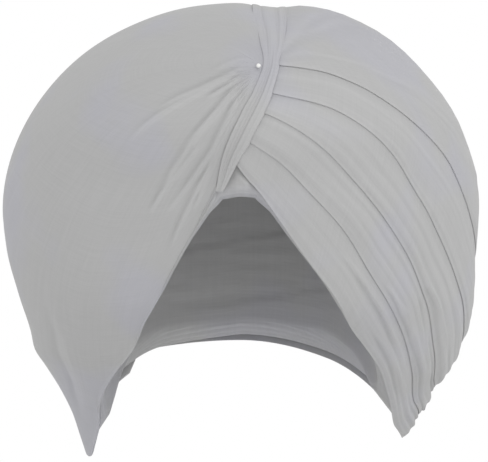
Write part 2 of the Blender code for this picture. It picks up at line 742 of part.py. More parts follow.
def make_pin(pierced):
    """A dress pin with a small white head, in a hole through the cloth that it holds."""
    place, direction = pin_axis()
    seat_height = 2 * PIN_HOLE_CLEARANCE
    head_radius = PIN_HEAD_DIAMETER / 2
    head_at = Vector(place + direction * (seat_height + head_radius))
    cutter_mesh = bmesh.new()
    hole_radius = PIN_SHANK_DIAMETER / 2 + PIN_HOLE_CLEARANCE
    above = PIN_LENGTH / 2
    add_shaft(cutter_mesh, place - direction * (PIN_LENGTH + PIN_HOLE_CLEARANCE), direction,
              hole_radius, PIN_LENGTH + PIN_HOLE_CLEARANCE + above)
    cutter = finish("pin_hole_cutter", cutter_mesh, PIN_WHITE, 0.3)
    cutter.hide_render = True
    cutter.display_type = "WIRE"
    for sub_part in pierced:
        hole = sub_part.modifiers.new("pin_hole", "BOOLEAN")
        hole.operation = "DIFFERENCE"
        hole.solver = "EXACT"
        hole.object = cutter

    head_mesh = bmesh.new()
    bmesh.ops.create_uvsphere(head_mesh, u_segments=14, v_segments=8, radius=head_radius)
    bmesh.ops.translate(head_mesh, verts=head_mesh.verts, vec=head_at)
    pin = finish("pin", head_mesh, PIN_WHITE, 0.3)
    shank_mesh = bmesh.new()
    add_shaft(shank_mesh, place - direction * PIN_LENGTH, direction, PIN_SHANK_DIAMETER / 2,
              PIN_LENGTH + seat_height + head_radius)
    shank = finish("pin_shank_tool", shank_mesh, PIN_WHITE, 0.3)
    shank.hide_render = True
    shank.display_type = "WIRE"
    union = pin.modifiers.new("shank", "BOOLEAN")
    union.operation = "UNION"
    union.solver = "EXACT"
    union.object = shank


def main():
    for old in list(bpy.data.objects):
        bpy.data.objects.remove(old)
    core = make_core()
    make_right_turns()
    make_left_turn()
    cover = make_cover()
    make_pleat()
    left_turn = bpy.data.objects["left_turn"]
    make_pin([core, left_turn, cover])


main()
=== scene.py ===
import math

import bmesh
import bpy
import numpy as np
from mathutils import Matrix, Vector


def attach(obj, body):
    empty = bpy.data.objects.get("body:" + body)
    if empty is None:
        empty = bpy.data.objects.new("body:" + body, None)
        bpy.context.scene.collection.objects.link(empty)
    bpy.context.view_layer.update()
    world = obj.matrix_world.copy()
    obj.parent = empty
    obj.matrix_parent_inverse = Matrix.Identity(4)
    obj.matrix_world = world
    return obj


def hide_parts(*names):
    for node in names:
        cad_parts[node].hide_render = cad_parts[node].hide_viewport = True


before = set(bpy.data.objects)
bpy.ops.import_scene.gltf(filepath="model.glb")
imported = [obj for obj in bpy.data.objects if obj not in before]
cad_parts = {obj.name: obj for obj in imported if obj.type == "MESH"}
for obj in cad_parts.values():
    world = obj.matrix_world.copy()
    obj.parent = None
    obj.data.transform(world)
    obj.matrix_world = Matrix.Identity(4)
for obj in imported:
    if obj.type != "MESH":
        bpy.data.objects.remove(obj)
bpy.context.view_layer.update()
print("frame loaded")

# The turban's outer form, the same as the solids'
form = {
    "width": 0.285, "front": 0.138, "back": 0.150, "crown": 0.054,
    "sideBelow": 0.071, "frontBelow": 0.021, "backBelow": 0.050,
    "tipBelow": 0.2154, "tipLean": 0.042,
    "headWidth": 0.164, "headLength": 0.202, "headBelow": 0.080, "beyond": 0.6,
}
centre = np.array([0.0, 0.06 * form["front"], -1.056 * form["sideBelow"]])

# share of the way down to the tips, then the reach to the left and the right, or to the front and the back
sideProfile = [
    (0.0, 1.0, 1.0), (0.15, 0.989, 0.997), (0.35, 0.937, 0.986), (0.5, 0.889, 0.958), (0.57, 0.874, 0.935),
    (0.65, 0.824, 0.897), (0.75, 0.762, 0.822), (0.85, 0.714, 0.768), (0.95, 0.682, 0.7), (1.2, 0.6, 0.6),
]
depthProfile = [
    (0.0, 1.0, 1.0), (0.2, 0.87, 0.97), (0.36, 0.8, 0.87), (0.53, 0.765, 0.7), (0.69, 0.62, 0.57),
    (0.85, 0.5, 0.48), (1.2, 0.4, 0.38),
]
# azimuth, then the elevation of each turn's lower edge, from the turban's rim up to the wide top turn
foldRows = [
    (-3.0, 15.0, 18.0, 24.0, 28.0, 34.2), (1.0, 10.3, 17.1, 23.2, 27.5, 34.1),
    (5.0, 6.3, 15.3, 22.3, 26.9, 34.0), (10.0, 0.0, 12.7, 20.4, 26.0, 33.7),
    (20.0, -12.3, 4.6, 15.4, 24.1, 32.8), (30.0, -22.8, -4.5, 8.5, 19.9, 30.0),
    (40.0, -32.7, -15.9, -0.3, 13.8, 25.4), (50.0, -38.5, -24.9, -9.9, 4.6, 19.9),
    (60.0, -43.0, -32.0, -21.0, -5.1, 13.8), (75.0, -49.3, -41.0, -33.0, -18.3, -0.3),
    (90.0, -53.4, -46.6, -40.0, -27.5, -9.5), (102.0, -53.0, -47.0, -41.0, -31.0, -14.5),
    (120.0, -47.5, -42.0, -36.5, -28.5, -16.0), (150.0, -39.0, -33.0, -26.5, -18.5, -7.0),
    (180.0, -36.0, -28.0, -19.5, -9.5, 2.0), (230.0, -37.5, -28.5, -19.5, -9.0, 4.0),
]
# degrees turned from the front, then the elevation of the rim on the left, and over the brow
leftRimRows = [
    (0.0, 13.5), (6.0, 5.8), (15.0, -7.0), (23.0, -19.0), (26.0, -23.5), (38.0, -35.2), (45.0, -41.0),
    (58.0, -46.3), (78.0, -52.2), (89.0, -56.3), (100.0, -57.3), (108.0, -55.4), (120.0, -49.5),
    (135.0, -43.0), (150.0, -39.0), (180.0, -36.0),
]
browRows = [(-6.0, 6.0), (0.0, 7.0), (5.0, 6.6)]
# elevation, then the azimuth of the cover's edge at the back
backSeamRows = [
    (-50.0, 221.0), (-36.0, 216.0), (-20.0, 207.0), (0.0, 196.0), (20.0, 187.0), (35.0, 181.0),
    (50.0, 177.0), (65.0, 172.0),
]
# pitch over the head from the front, the pleat's place sideways, and its share of the full width
pleatRows = [
    (6.6, -5.3, 0.18), (13.0, -2.5, 0.42), (17.0, -0.2, 0.55), (22.5, 2.7, 0.56), (27.0, 4.6, 0.46),
    (33.7, 6.3, 0.38), (41.0, 6.8, 0.62), (60.0, 7.2, 0.92), (85.0, 7.9, 1.0), (110.0, 6.0, 0.74),
    (122.0, 4.4, 0.34), (145.0, 0.0, 0.3),
]
metresPerDegree = 0.14 * math.pi / 180  # on the form, near enough


def smoothCurve(xs, ys, levelStart=False):
    xs, ys = np.array(xs, float), np.array(ys, float)
    slopes = np.diff(ys) / np.diff(xs)
    tangents = np.zeros_like(ys)
    before, after = slopes[:-1], slopes[1:]
    sameWay = before * after > 0
    tangents[1:-1] = np.where(sameWay, 2 * before * after / np.where(sameWay, before + after, 1.0), 0.0)
    tangents[0] = 0.0 if levelStart else slopes[0]
    tangents[-1] = slopes[-1]

    def value(x):
        x = np.clip(x, xs[0], xs[-1])
        i = np.clip(np.searchsorted(xs, x, side="right") - 1, 0, len(xs) - 2)
        gap = xs[i + 1] - xs[i]
        t = (x - xs[i]) / gap
        start = (2 * t**3 - 3 * t**2 + 1) * ys[i] + (t**3 - 2 * t**2 + t) * gap * tangents[i]
        return start + (3 * t**2 - 2 * t**3) * ys[i + 1] + (t**3 - t**2) * gap * tangents[i + 1]

    return value


def curveOf(rows, column, levelStart=False):
    return smoothCurve([r[0] for r in rows], [r[column] for r in rows], levelStart)


def shares(count):
    return np.linspace(0.0, 1.0, count)


def mix(a, b, t):
    return a + (b - a) * t


def ease(x, low, high):
    t = np.clip((np.asarray(x, float) - low) / (high - low), 0.0, 1.0)
    return t * t * (3 - 2 * t)


def between(x, rise, full, fall, end):  # up to 1, and down again
    return ease(x, rise, full) * (1 - ease(x, fall, end))


def hump(x, spread):
    return np.exp(-((x / spread) ** 2))


leftShare, rightShare = curveOf(sideProfile, 1, True), curveOf(sideProfile, 2, True)
frontShare, backShare = curveOf(depthProfile, 1, True), curveOf(depthProfile, 2, True)
foldElevation = [curveOf(foldRows, k) for k in range(1, 6)]
leftRim = curveOf(leftRimRows, 1)
browEdge = curveOf(browRows, 1)
backSeam = curveOf(backSeamRows, 1)
pleatSide, pleatWidth = curveOf(pleatRows, 1), curveOf(pleatRows, 2)


def unit(v):
    return v / np.linalg.norm(v, axis=-1, keepdims=True)


def dropShare(z, below):
    return np.clip((-below - z) / (form["tipBelow"] - below), 0.0, 1.2)


def profileAt(z, below, lower):
    rise = (z + below) / (form["crown"] + below)
    dome = np.sqrt(np.clip(1 - rise**2, 1e-9, 1.0))
    return np.where(z >= -below, dome, lower(dropShare(z, below)))


def outsideForm(p):
    x, y, z = p[..., 0], p[..., 1], p[..., 2]
    left, right = (profileAt(z, form["sideBelow"], share) for share in (leftShare, rightShare))
    side = np.where(x < 0, left, right)
    behind = y - form["tipLean"] * dropShare(z, form["sideBelow"]) ** 1.3
    front = form["front"] * profileAt(z, form["frontBelow"], frontShare)
    back = form["back"] * profileAt(z, form["backBelow"], backShare)
    value = (x / (form["width"] / 2 * side)) ** 2 + (behind / np.where(behind < 0, front, back)) ** 2 - 1
    return np.where(z > form["crown"], 1.0, value)


def outsideHead(p):
    rise = np.clip(p[..., 2] + form["headBelow"], 0.0, None) / form["headBelow"]
    x, y = p[..., 0] / (form["headWidth"] / 2), p[..., 1] / (form["headLength"] / 2)
    return x**2 + y**2 + rise**2 - 1


def rayLength(directions, outside):
    near, far = np.zeros(directions.shape[:-1]), np.full(directions.shape[:-1], form["beyond"])
    for _ in range(30):
        half = (near + far) / 2
        inside = outside(centre + half[..., None] * directions) < 0
        near, far = np.where(inside, half, near), np.where(inside, far, half)
    return near


def toward(azimuth, elevation):
    a, e = np.radians(azimuth), np.radians(elevation)
    return np.stack([np.sin(a) * np.cos(e), -np.cos(a) * np.cos(e), np.sin(e) + 0 * a], -1)


def towardPitch(pitch, side):
    p, s = np.radians(pitch), np.radians(side)
    return np.stack([np.sin(s) + 0 * p, -np.cos(s) * np.cos(p), np.cos(s) * np.sin(p)], -1)


def azimuthOf(d):
    return np.degrees(np.arctan2(d[..., 0], -d[..., 1]))


def elevationOf(d):
    return np.degrees(np.arcsin(np.clip(d[..., 2], -1.0, 1.0)))


def pitchOf(d):
    return np.degrees(np.arctan2(d[..., 2], -d[..., 1]))


def sideOf(d):
    return np.degrees(np.arcsin(np.clip(d[..., 0], -1.0, 1.0)))


def degreesAcross(length, directions):
    return np.degrees(length / rayLength(unit(directions), outsideForm))


class Skin:  # the form's surface under a grid of directions, found once and then used for each layer
    def __init__(self, directions):
        self.way = unit(directions)
        self.reach = rayLength(self.way, outsideForm)
        at = centre + (self.reach - 0.002)[..., None] * self.way
        probe = 0.0005
        slopes = [outsideForm(at + probe * axis) - outsideForm(at - probe * axis) for axis in np.eye(3)]
        self.slant = np.clip((unit(np.stack(slopes, -1)) * self.way).sum(-1), 0.5, 1.0)

    def at(self, depth):
        return centre + (self.reach - depth / self.slant)[..., None] * self.way


def waves(points, scale, seed, count=14):  # soft unevenness, about -1 to 1
    rng = np.random.default_rng(seed)
    pull = unit(rng.normal(size=(count, 3))) * (2 * math.pi / scale * rng.uniform(0.6, 1.6, (count, 1)))
    return np.sin(points @ pull.T + rng.uniform(0, 2 * math.pi, count)).sum(-1) / math.sqrt(count)


def foldShape(distance):  # a ridge of cloth with a sharper hollow on its lower side
    return hump(distance, 1.0) - 0.6 * hump(distance + 1.7, 1.0)


def lineHeight(directions, rows, start=0.16):
    # creases drawn on the form: each row has points (azimuth, elevation), a height and a spread in metres
    azimuth, elevation = azimuthOf(directions), elevationOf(directions)
    total = np.zeros(azimuth.shape)
    for points, height, spread in rows:
        best, sideways, share = np.full(azimuth.shape, 1e9), np.zeros(azimuth.shape), np.zeros(azimuth.shape)
        for k, ((a0, e0), (a1, e1)) in enumerate(zip(points, points[1:])):
            squash = math.cos(math.radians((e0 + e1) / 2))
            dx, dy = (a1 - a0) * squash, e1 - e0
            px, py = (azimuth - a0) * squash, elevation - e0
            t = np.clip((px * dx + py * dy) / (dx * dx + dy * dy), 0.0, 1.0)
            ox, oy = px - t * dx, py - t * dy
            away = np.hypot(ox, oy)
            nearer = away < best
            turn = np.sign(dx * oy - dy * ox)
            sideways = np.where(nearer, away * turn, sideways)
            share = np.where(nearer, (k + t) / (len(points) - 1), share)
            best = np.where(nearer, away, best)
        ends = between(share, 0.0, start, 0.72, 1.0)
        total += height * ends * foldShape(sideways * metresPerDegree / spread)
    return total


def borderOf(n, m):
    i = np.concatenate([np.arange(n), np.full(m - 2, n - 1), np.arange(n - 1, -1, -1), np.zeros(m - 2, int)])
    j = np.concatenate([np.zeros(n, int), np.arange(1, m - 1), np.full(n, m - 1), np.arange(m - 2, 0, -1)])
    return i, j


def gridFaces(n, m, start, flip=False):
    i, j = np.meshgrid(np.arange(n - 1), np.arange(m - 1), indexing="ij")
    a = start + i * m + j
    quad = np.stack([a, a + m, a + m + 1, a + 1], -1).reshape(-1, 4)
    return quad[:, ::-1] if flip else quad


def metres(points):  # distances along and across a grid, for its UV map
    along = np.linalg.norm(np.diff(points, axis=0), axis=-1).mean(1)
    across = np.linalg.norm(np.diff(points, axis=1), axis=-1)
    u = np.concatenate([[0.0], np.cumsum(along)])
    v = np.concatenate([np.zeros((len(points), 1)), np.cumsum(across, 1)], 1)
    v = v - v[:, v.shape[1] // 2][:, None]
    return np.stack([np.repeat(u[:, None], points.shape[1], 1), v], -1)


def meshObject(name, points, faces, uv, marks, material):
    data = bpy.data.meshes.new(name)
    data.from_pydata(points.reshape(-1, 3).tolist(), [], faces.tolist())
    layer = data.uv_layers.new(name="cloth")
    corner = np.zeros(len(data.loops), np.int64)
    data.loops.foreach_get("vertex_index", corner)
    layer.data.foreach_set("uv", uv[corner].astype(np.float32).ravel())
    for key, values in marks.items():
        mark = data.attributes.new(key, "FLOAT", "POINT")
        mark.data.foreach_set("value", values.astype(np.float32).ravel())
    work = bmesh.new()
    work.from_mesh(data)
    bmesh.ops.remove_doubles(work, verts=work.verts, dist=2e-6)
    bmesh.ops.recalc_face_normals(work, faces=work.faces)
    work.to_mesh(data)
    work.free()
    data.shade_smooth()
    data.materials.append(material)
    piece = bpy.data.objects.new(name, data)
    bpy.context.scene.collection.objects.link(piece)
    return piece


def clothWall(name, outer, inner, edgeHighlight, paintedShading, material, rolls=5):
    # two faces of cloth, joined all round by a rounded edge
    n, m = outer.shape[:2]
    middle = (outer + inner) / 2
    i, j = borderOf(n, m)
    inward = middle[np.clip(i, 1, n - 2), np.clip(j, 1, m - 2)]
    outward = unit(middle[i, j] - inward)
    half = (outer[i, j] - inner[i, j]) / 2
    radius = np.linalg.norm(half, axis=-1, keepdims=True)
    uv = metres(outer)
    points, uvs = [outer.reshape(-1, 3), inner.reshape(-1, 3)], [uv.reshape(-1, 2), uv.reshape(-1, 2)]
    # the outer face carries the painted edge highlight and painted shading; the rounded edge is painted fully
    # lighter as a highlight, the inner face gets no painted shading
    edgeHighlights, paintedShadings = [edgeHighlight.ravel(), edgeHighlight.ravel()], [paintedShading.ravel(), 0 * paintedShading.ravel()]
    for k in range(1, rolls + 1):
        t = math.pi * k / (rolls + 1)
        points.append(middle[i, j] + half * math.cos(t) + outward * radius * math.sin(t))
        uvs.append(uv[i, j] + 0.0004 * k)
        edgeHighlights.append(np.full(len(i), 1.0))
        paintedShadings.append(0 * paintedShading[i, j])
    size, ring = n * m, len(i)
    loops = [i * m + j] + [2 * size + k * ring + np.arange(ring) for k in range(rolls)] + [size + i * m + j]
    faces = [gridFaces(n, m, 0), gridFaces(n, m, size, True)]
    for a, b in zip(loops[:-1], loops[1:]):
        faces.append(np.stack([a, np.roll(a, -1), np.roll(b, -1), b], -1))
    marks = {"edgeHighlight": np.concatenate(edgeHighlights), "paintedShading": np.concatenate(paintedShadings)}
    points, faces, uvs = (np.concatenate(parts) for parts in (points, faces, uvs))
    return meshObject(name, points, faces, uvs, marks, material)


# Node trees
def setInputs(node, values):
    for label, value in values.items():
        node.inputs[label].default_value = value


def newNode(tree, kind, values=None, **settings):
    node = tree.nodes.new("ShaderNode" + kind)
    for key, value in settings.items():
        setattr(node, key, value)
    setInputs(node, values or {})
    return node


def join(tree, *ties):  # each from a socket, or from a node and its output, to a node and its input
    for *start, node, entry in ties:
        socket = start[0].outputs[start[1]] if len(start) == 2 else start[0]
        tree.links.new(socket, node.inputs[entry])


def newGroup(name, inputs, outputs):
    group = bpy.data.node_groups.new(name, "ShaderNodeTree")
    for way, sockets in (("INPUT", inputs), ("OUTPUT", outputs)):
        for label, kind in sockets.items():
            group.interface.new_socket(name=label, in_out=way, socket_type="NodeSocket" + kind)
    return group, group.nodes.new("NodeGroupInput").outputs, group.nodes.new("NodeGroupOutput")


def newMaterial(name):
    material = bpy.data.materials.new(name)
    material.use_nodes = True
    return material, material.node_tree, material.node_tree.nodes["Principled BSDF"]


def mathNode(tree, operation, *values):
    node = newNode(tree, "Math", operation=operation)
    for socket, value in zip(node.inputs, values):
        if isinstance(value, (int, float)):
            socket.default_value = value
        else:
            tree.links.new(value, socket)
    return node.outputs[0]


def noiseNode(tree, vector, scale, detail=2.0, roughness=0.5):
    node = newNode(tree, "TexNoise", {"Scale": scale, "Detail": detail, "Roughness": roughness})
    join(tree, (vector, node, "Vector"))
    return node.outputs["Fac"]


def stretched(tree, vector, x, y):
    node = newNode(tree, "VectorMath", {1: (x, y, 1.0)}, operation="MULTIPLY")
    join(tree, (vector, node, 0))
    return node.outputs[0]


# Cloth materials
def makeWeaveGroup():  # a plain weave with uneven threads, on a UV map in metres
    group, given, made = newGroup("plainWeave", {"UV": "Vector", "Threads": "Float"},
                                  {"Height": "Float", "Slub": "Float"})
    split = newNode(group, "SeparateXYZ")
    join(group, (given["UV"], split, 0))
    halfTurns = mathNode(group, "MULTIPLY", given["Threads"], math.pi)
    warp, weft = (mathNode(group, "SINE", mathNode(group, "MULTIPLY", split.outputs[k], halfTurns))
                  for k in (0, 1))
    over = mathNode(group, "MULTIPLY_ADD", mathNode(group, "MULTIPLY", warp, weft), 0.5, 0.5)
    under = mathNode(group, "SUBTRACT", 1.0, over)
    raised = [mathNode(group, "MULTIPLY", mathNode(group, "ABSOLUTE", thread), shown)
              for thread, shown in ((warp, over), (weft, under))]
    along = noiseNode(group, stretched(group, given["UV"], 30.0, 900.0), 1.0)
    across = noiseNode(group, stretched(group, given["UV"], 700.0, 24.0), 1.0)
    slub = mathNode(group, "MULTIPLY", mathNode(group, "ADD", along, across), 0.5)
    join(group, (mathNode(group, "MAXIMUM", *raised), made, "Height"), (slub, made, "Slub"))
    return group


def makeCrinkleGroup():  # starched creases that run mostly along the cloth, and soft dents
    group, given, made = newGroup("starchedCrinkle", {"UV": "Vector", "Object": "Vector"},
                                  {"Height": "Float"})
    along = noiseNode(group, stretched(group, given["UV"], 14.0, 150.0), 1.0, 3.0, 0.55)
    dents = mathNode(group, "MULTIPLY", noiseNode(group, given["Object"], 90.0), 0.3)
    join(group, (mathNode(group, "MULTIPLY_ADD", along, 0.7, dents), made, "Height"))
    return group


def makeToneAndLightGroup():  # the cloth's colour: cool patches and thread tone, with painted highlight on folded edges and ridges, and painted shade in creases and hollows
    group, given, made = newGroup("clothToneWithPaintedLight", {
        "Object": "Vector", "Slub": "Float", "EdgeHighlight": "Float", "Hollow": "Float", "Plain": "Color",
        "Cool": "Color"}, {"Color": "Color"})
    patch = noiseNode(group, given["Object"], 16.0, 2.0, 0.45)
    spread = newNode(group, "MapRange", {"From Min": 0.47, "From Max": 0.62})
    base = newNode(group, "Mix", data_type="RGBA")
    shade = newNode(group, "VectorMath", operation="SCALE")
    thread = mathNode(group, "MULTIPLY_ADD", mathNode(group, "SUBTRACT", given["Slub"], 0.5), 0.2, 1.0)
    # painted highlight: folded edges up to 5% lighter; painted shade: creases and hollows up to 10% darker,
    # and ridges lighter where that mark is below zero
    withEdgeHighlight = mathNode(group, "MULTIPLY_ADD", given["EdgeHighlight"], 0.05, thread)
    value = mathNode(group, "MULTIPLY_ADD", given["Hollow"], -0.10, withEdgeHighlight)
    join(group, (patch, spread, "Value"), (spread, "Result", base, "Factor"), (given["Plain"], base, "A"),
         (given["Cool"], base, "B"), (base, "Result", shade, 0), (value, shade, "Scale"),
         (shade, 0, made, "Color"))
    return group


weaveGroup, crinkleGroup, toneAndLightGroup = makeWeaveGroup(), makeCrinkleGroup(), makeToneAndLightGroup()

voile = {
    "plain": (0.452, 0.452, 0.452, 1), "cool": (0.447, 0.447, 0.476, 1), "threads": 2100.0,
    "weaveDepth": 0.00005, "crinkleDepth": 0.0009, "roughness": (0.82, 0.95), "sheen": 0.12,
}
# a slightly darker copy of the voile: painted shade for the inner turns
shadedVoile = {
    **voile, "plain": (0.448, 0.448, 0.448, 1), "cool": (0.443, 0.443, 0.468, 1), "crinkleDepth": 0.0012,
}


def clothMaterial(name, look):
    material, tree, shader = newMaterial(name)
    place = newNode(tree, "TexCoord")
    weave = newNode(tree, "Group", {"Threads": look["threads"]}, node_tree=weaveGroup)
    crinkle = newNode(tree, "Group", node_tree=crinkleGroup)
    toneAndLight = newNode(tree, "Group", {"Plain": look["plain"], "Cool": look["cool"]}, node_tree=toneAndLightGroup)
    # the painted edge highlight and painted shading marks, read from the mesh into the base colour
    edgeHighlight, paintedShading = (newNode(tree, "Attribute", attribute_name=mark) for mark in ("edgeHighlight", "paintedShading"))
    rough = newNode(tree, "MapRange", {"To Min": look["roughness"][0], "To Max": look["roughness"][1]})
    fine = newNode(tree, "Bump", {"Distance": look["weaveDepth"], "Strength": 0.8})
    broad = newNode(tree, "Bump", {"Distance": look["crinkleDepth"], "Strength": 0.5})
    join(tree, (place, "UV", weave, "UV"), (place, "UV", crinkle, "UV"), (place, "Object", crinkle, "Object"),
         (place, "Object", toneAndLight, "Object"), (weave, "Slub", toneAndLight, "Slub"), (weave, "Slub", rough, "Value"),
         (edgeHighlight, "Fac", toneAndLight, "EdgeHighlight"), (paintedShading, "Fac", toneAndLight, "Hollow"), (weave, "Height", fine, "Height"),
         (crinkle, "Height", broad, "Height"), (broad, "Normal", fine, "Normal"),
         (fine, "Normal", shader, "Normal"), (toneAndLight, "Color", shader, "Base Color"),
         (rough, "Result", shader, "Roughness"))
    setInputs(shader, {"Sheen Weight": look["sheen"], "Sheen Roughness": 0.5, "Specular IOR Level": 0.2})
    return material


# Where the pleat lies, and what the layers share
layers = {
    "step": 0.0013, "turnWall": 0.0009, "coverWall": 0.0012, "gap": 0.0005, "underCover": 0.0009,
    "groove": 0.0034, "grooveSpread": 0.0115, "sink": 0.0006, "jointClear": 0.0024, "overlap": 0.013,
    "tuck": 0.012, "pleatWidth": 0.0215, "pleatRadius": 0.135, "pinPitch": 32.6,
    "grooveAt": (36.0, 58.0, 96.0, 112.0), "sinkBeside": (-0.0006, 0.0034), "sinkUpTo": (30.0, 40.0),
    "crownFrom": 38.0, "crownTo": 140.0, "crossOver": (110.0, 126.0),
}
leftTurnDepth = layers["coverWall"] + layers["underCover"]
coverRaise = layers["coverWall"] + layers["gap"]


def pleatLine(pitch, aside=0.0):
    return towardPitch(pitch, pleatSide(pitch) + aside)


def pleatHalf(pitch):
    return layers["pleatWidth"] / 2 * pleatWidth(pitch)


def pleatAzimuth(elevation):
    line = pleatLine(np.linspace(pleatRows[0][0], 70.0, 160))
    return np.interp(elevation, elevationOf(line), azimuthOf(line))


def pleatGroove(directions, spread=layers["grooveSpread"]):
    pitch = pitchOf(directions)
    across = hump(sideOf(directions) - pleatSide(pitch), degreesAcross(spread, directions))
    return layers["groove"] * across * between(pitch, *layers["grooveAt"])


def pleatSink(directions):  # beside the pleat's lower part the left layers lie lower, flush with its edge
    pitch = pitchOf(directions)
    aside = np.radians(pleatSide(pitch) - sideOf(directions)) * layers["pleatRadius"] - pleatHalf(pitch)
    return layers["sink"] * (1 - ease(aside, *layers["sinkBeside"])) * (1 - ease(pitch, *layers["sinkUpTo"]))


def turnEnds(index):
    line, start, end = foldElevation[index], 0.0, 200.0
    for _ in range(12):
        low = line(start)
        start = pleatAzimuth(low) + degreesAcross(layers["jointClear"], toward(start, low))
        high = line(end)
        end = backSeam(high) + degreesAcross(layers["overlap"], toward(end, high))
    return float(start), float(end)


def crownLine(share):
    pitch = mix(layers["crownFrom"], layers["crownTo"], share)
    clear, over = (degreesAcross(layers[name], pleatLine(pitch)) for name in ("jointClear", "overlap"))
    return pleatLine(pitch, mix(clear, -over, ease(pitch, *layers["crossOver"])))


def foldLine(index, share):
    if index == 5:
        return crownLine(share)
    start, end = turnEnds(index)
    azimuth = mix(start, end, share)
    return toward(azimuth, foldElevation[index](azimuth))


# The turns on the right
turns = {
    "steps": 300, "rows": 34, "tuckRows": 6, "rise": 1.25, "topRise": 1.7, "puff": 0.0010, "puffShare": 0.06,
    "edgeDrop": 0.0005, "edgeDropSpread": 0.0019, "edgeHighlightSpread": 0.0022, "lineShade": 0.45, "shadeLineWidth": 0.0019,
    "seatLeft": 0.00008, "seatSpread": 0.004, "unevenness": 0.00035, "creaseShadeDepth": 0.0004,
    "creaseRange": (-0.0005, 0.0012), "waveSize": 0.045, "mostTuck": 0.45, "puffAt": (0.02, 0.14, 0.86, 0.98),
    "edgeFade": 0.003, "upperFade": (0.86, 0.97), "tipAt": (0.42, 0.44, 0.46, 0.5, 0.5),
    "long": {"count": 9, "height": 0.00028, "middle": 0.4, "reach": 0.35},
    "tips": {"count": 9, "height": 0.00075, "reach": 0.10, "spread": (0.0008, 0.0022)},
    "topSwell": 0.0048, "swellAt": (0.12, 0.36, 0.58, 0.80),
    "topSection": [(0.0, 0.0), (0.14, 0.08), (0.3, 0.22), (0.47, 0.5), (0.65, 0.92), (0.74, 1.0), (0.88, 0.5),
                   (1.0, 0.0)],
    "flat": [(0.031, 0.51), (0.032, 0.525), (0.038, 0.53), (0.042, 0.52), (0.146, 0.405)],
    # creases on the lower turns: points by azimuth and elevation, height, and spread
    "drawn": [
        [([(32.2, -12.2), (42.6, -22.5), (55.5, -32.4), (67.7, -40.0), (81.7, -46.3)], 0.0006, 0.0016),
         ([(28.7, -8.9), (36.9, -17.2), (49.1, -28.2), (62.1, -37.0)], 0.0004, 0.0013),
         ([(48.0, -32.5), (60.0, -38.6), (74.0, -45.2), (86.0, -49.6)], 0.0005, 0.0015)],
        [([(50.6, -21.8), (60.7, -29.7), (72.3, -37.0), (82.6, -42.7)], 0.0006, 0.0014),
         ([(56.0, -19.0), (62.5, -25.5), (70.6, -32.6), (80.0, -39.4)], 0.0005, 0.0012),
         ([(44.0, -17.0), (52.6, -24.9), (63.8, -32.7), (76.0, -39.8)], 0.0006, 0.0012)],
        [([(56.7, -16.2), (63.0, -20.4), (72.0, -27.0), (84.0, -34.0)], 0.0006, 0.0014)],
        [], [],
    ],
}


def creasesAlong(along, up, width, seed, count, height, middle, reach, spread=(0.0012, 0.0035)):
    # folds that run the length of a turn and close up where it narrows
    rng = np.random.default_rng(seed)
    total = np.zeros(up.shape)
    for _ in range(count):
        start, drift, sway = rng.uniform(0.03, 0.97), rng.normal(0, 0.16), rng.uniform(0, 6.28)
        at, length = rng.normal(middle, reach * 0.5), rng.uniform(0.5, 1.2) * reach
        line = start + drift * (along - middle) + 0.03 * np.sin(9 * along + sway)
        wide = rng.uniform(*spread)
        strength = height * rng.uniform(0.35, 1.0) * hump(along - at, length)
        total += strength * foldShape((up - line) * width / wide)
    return total


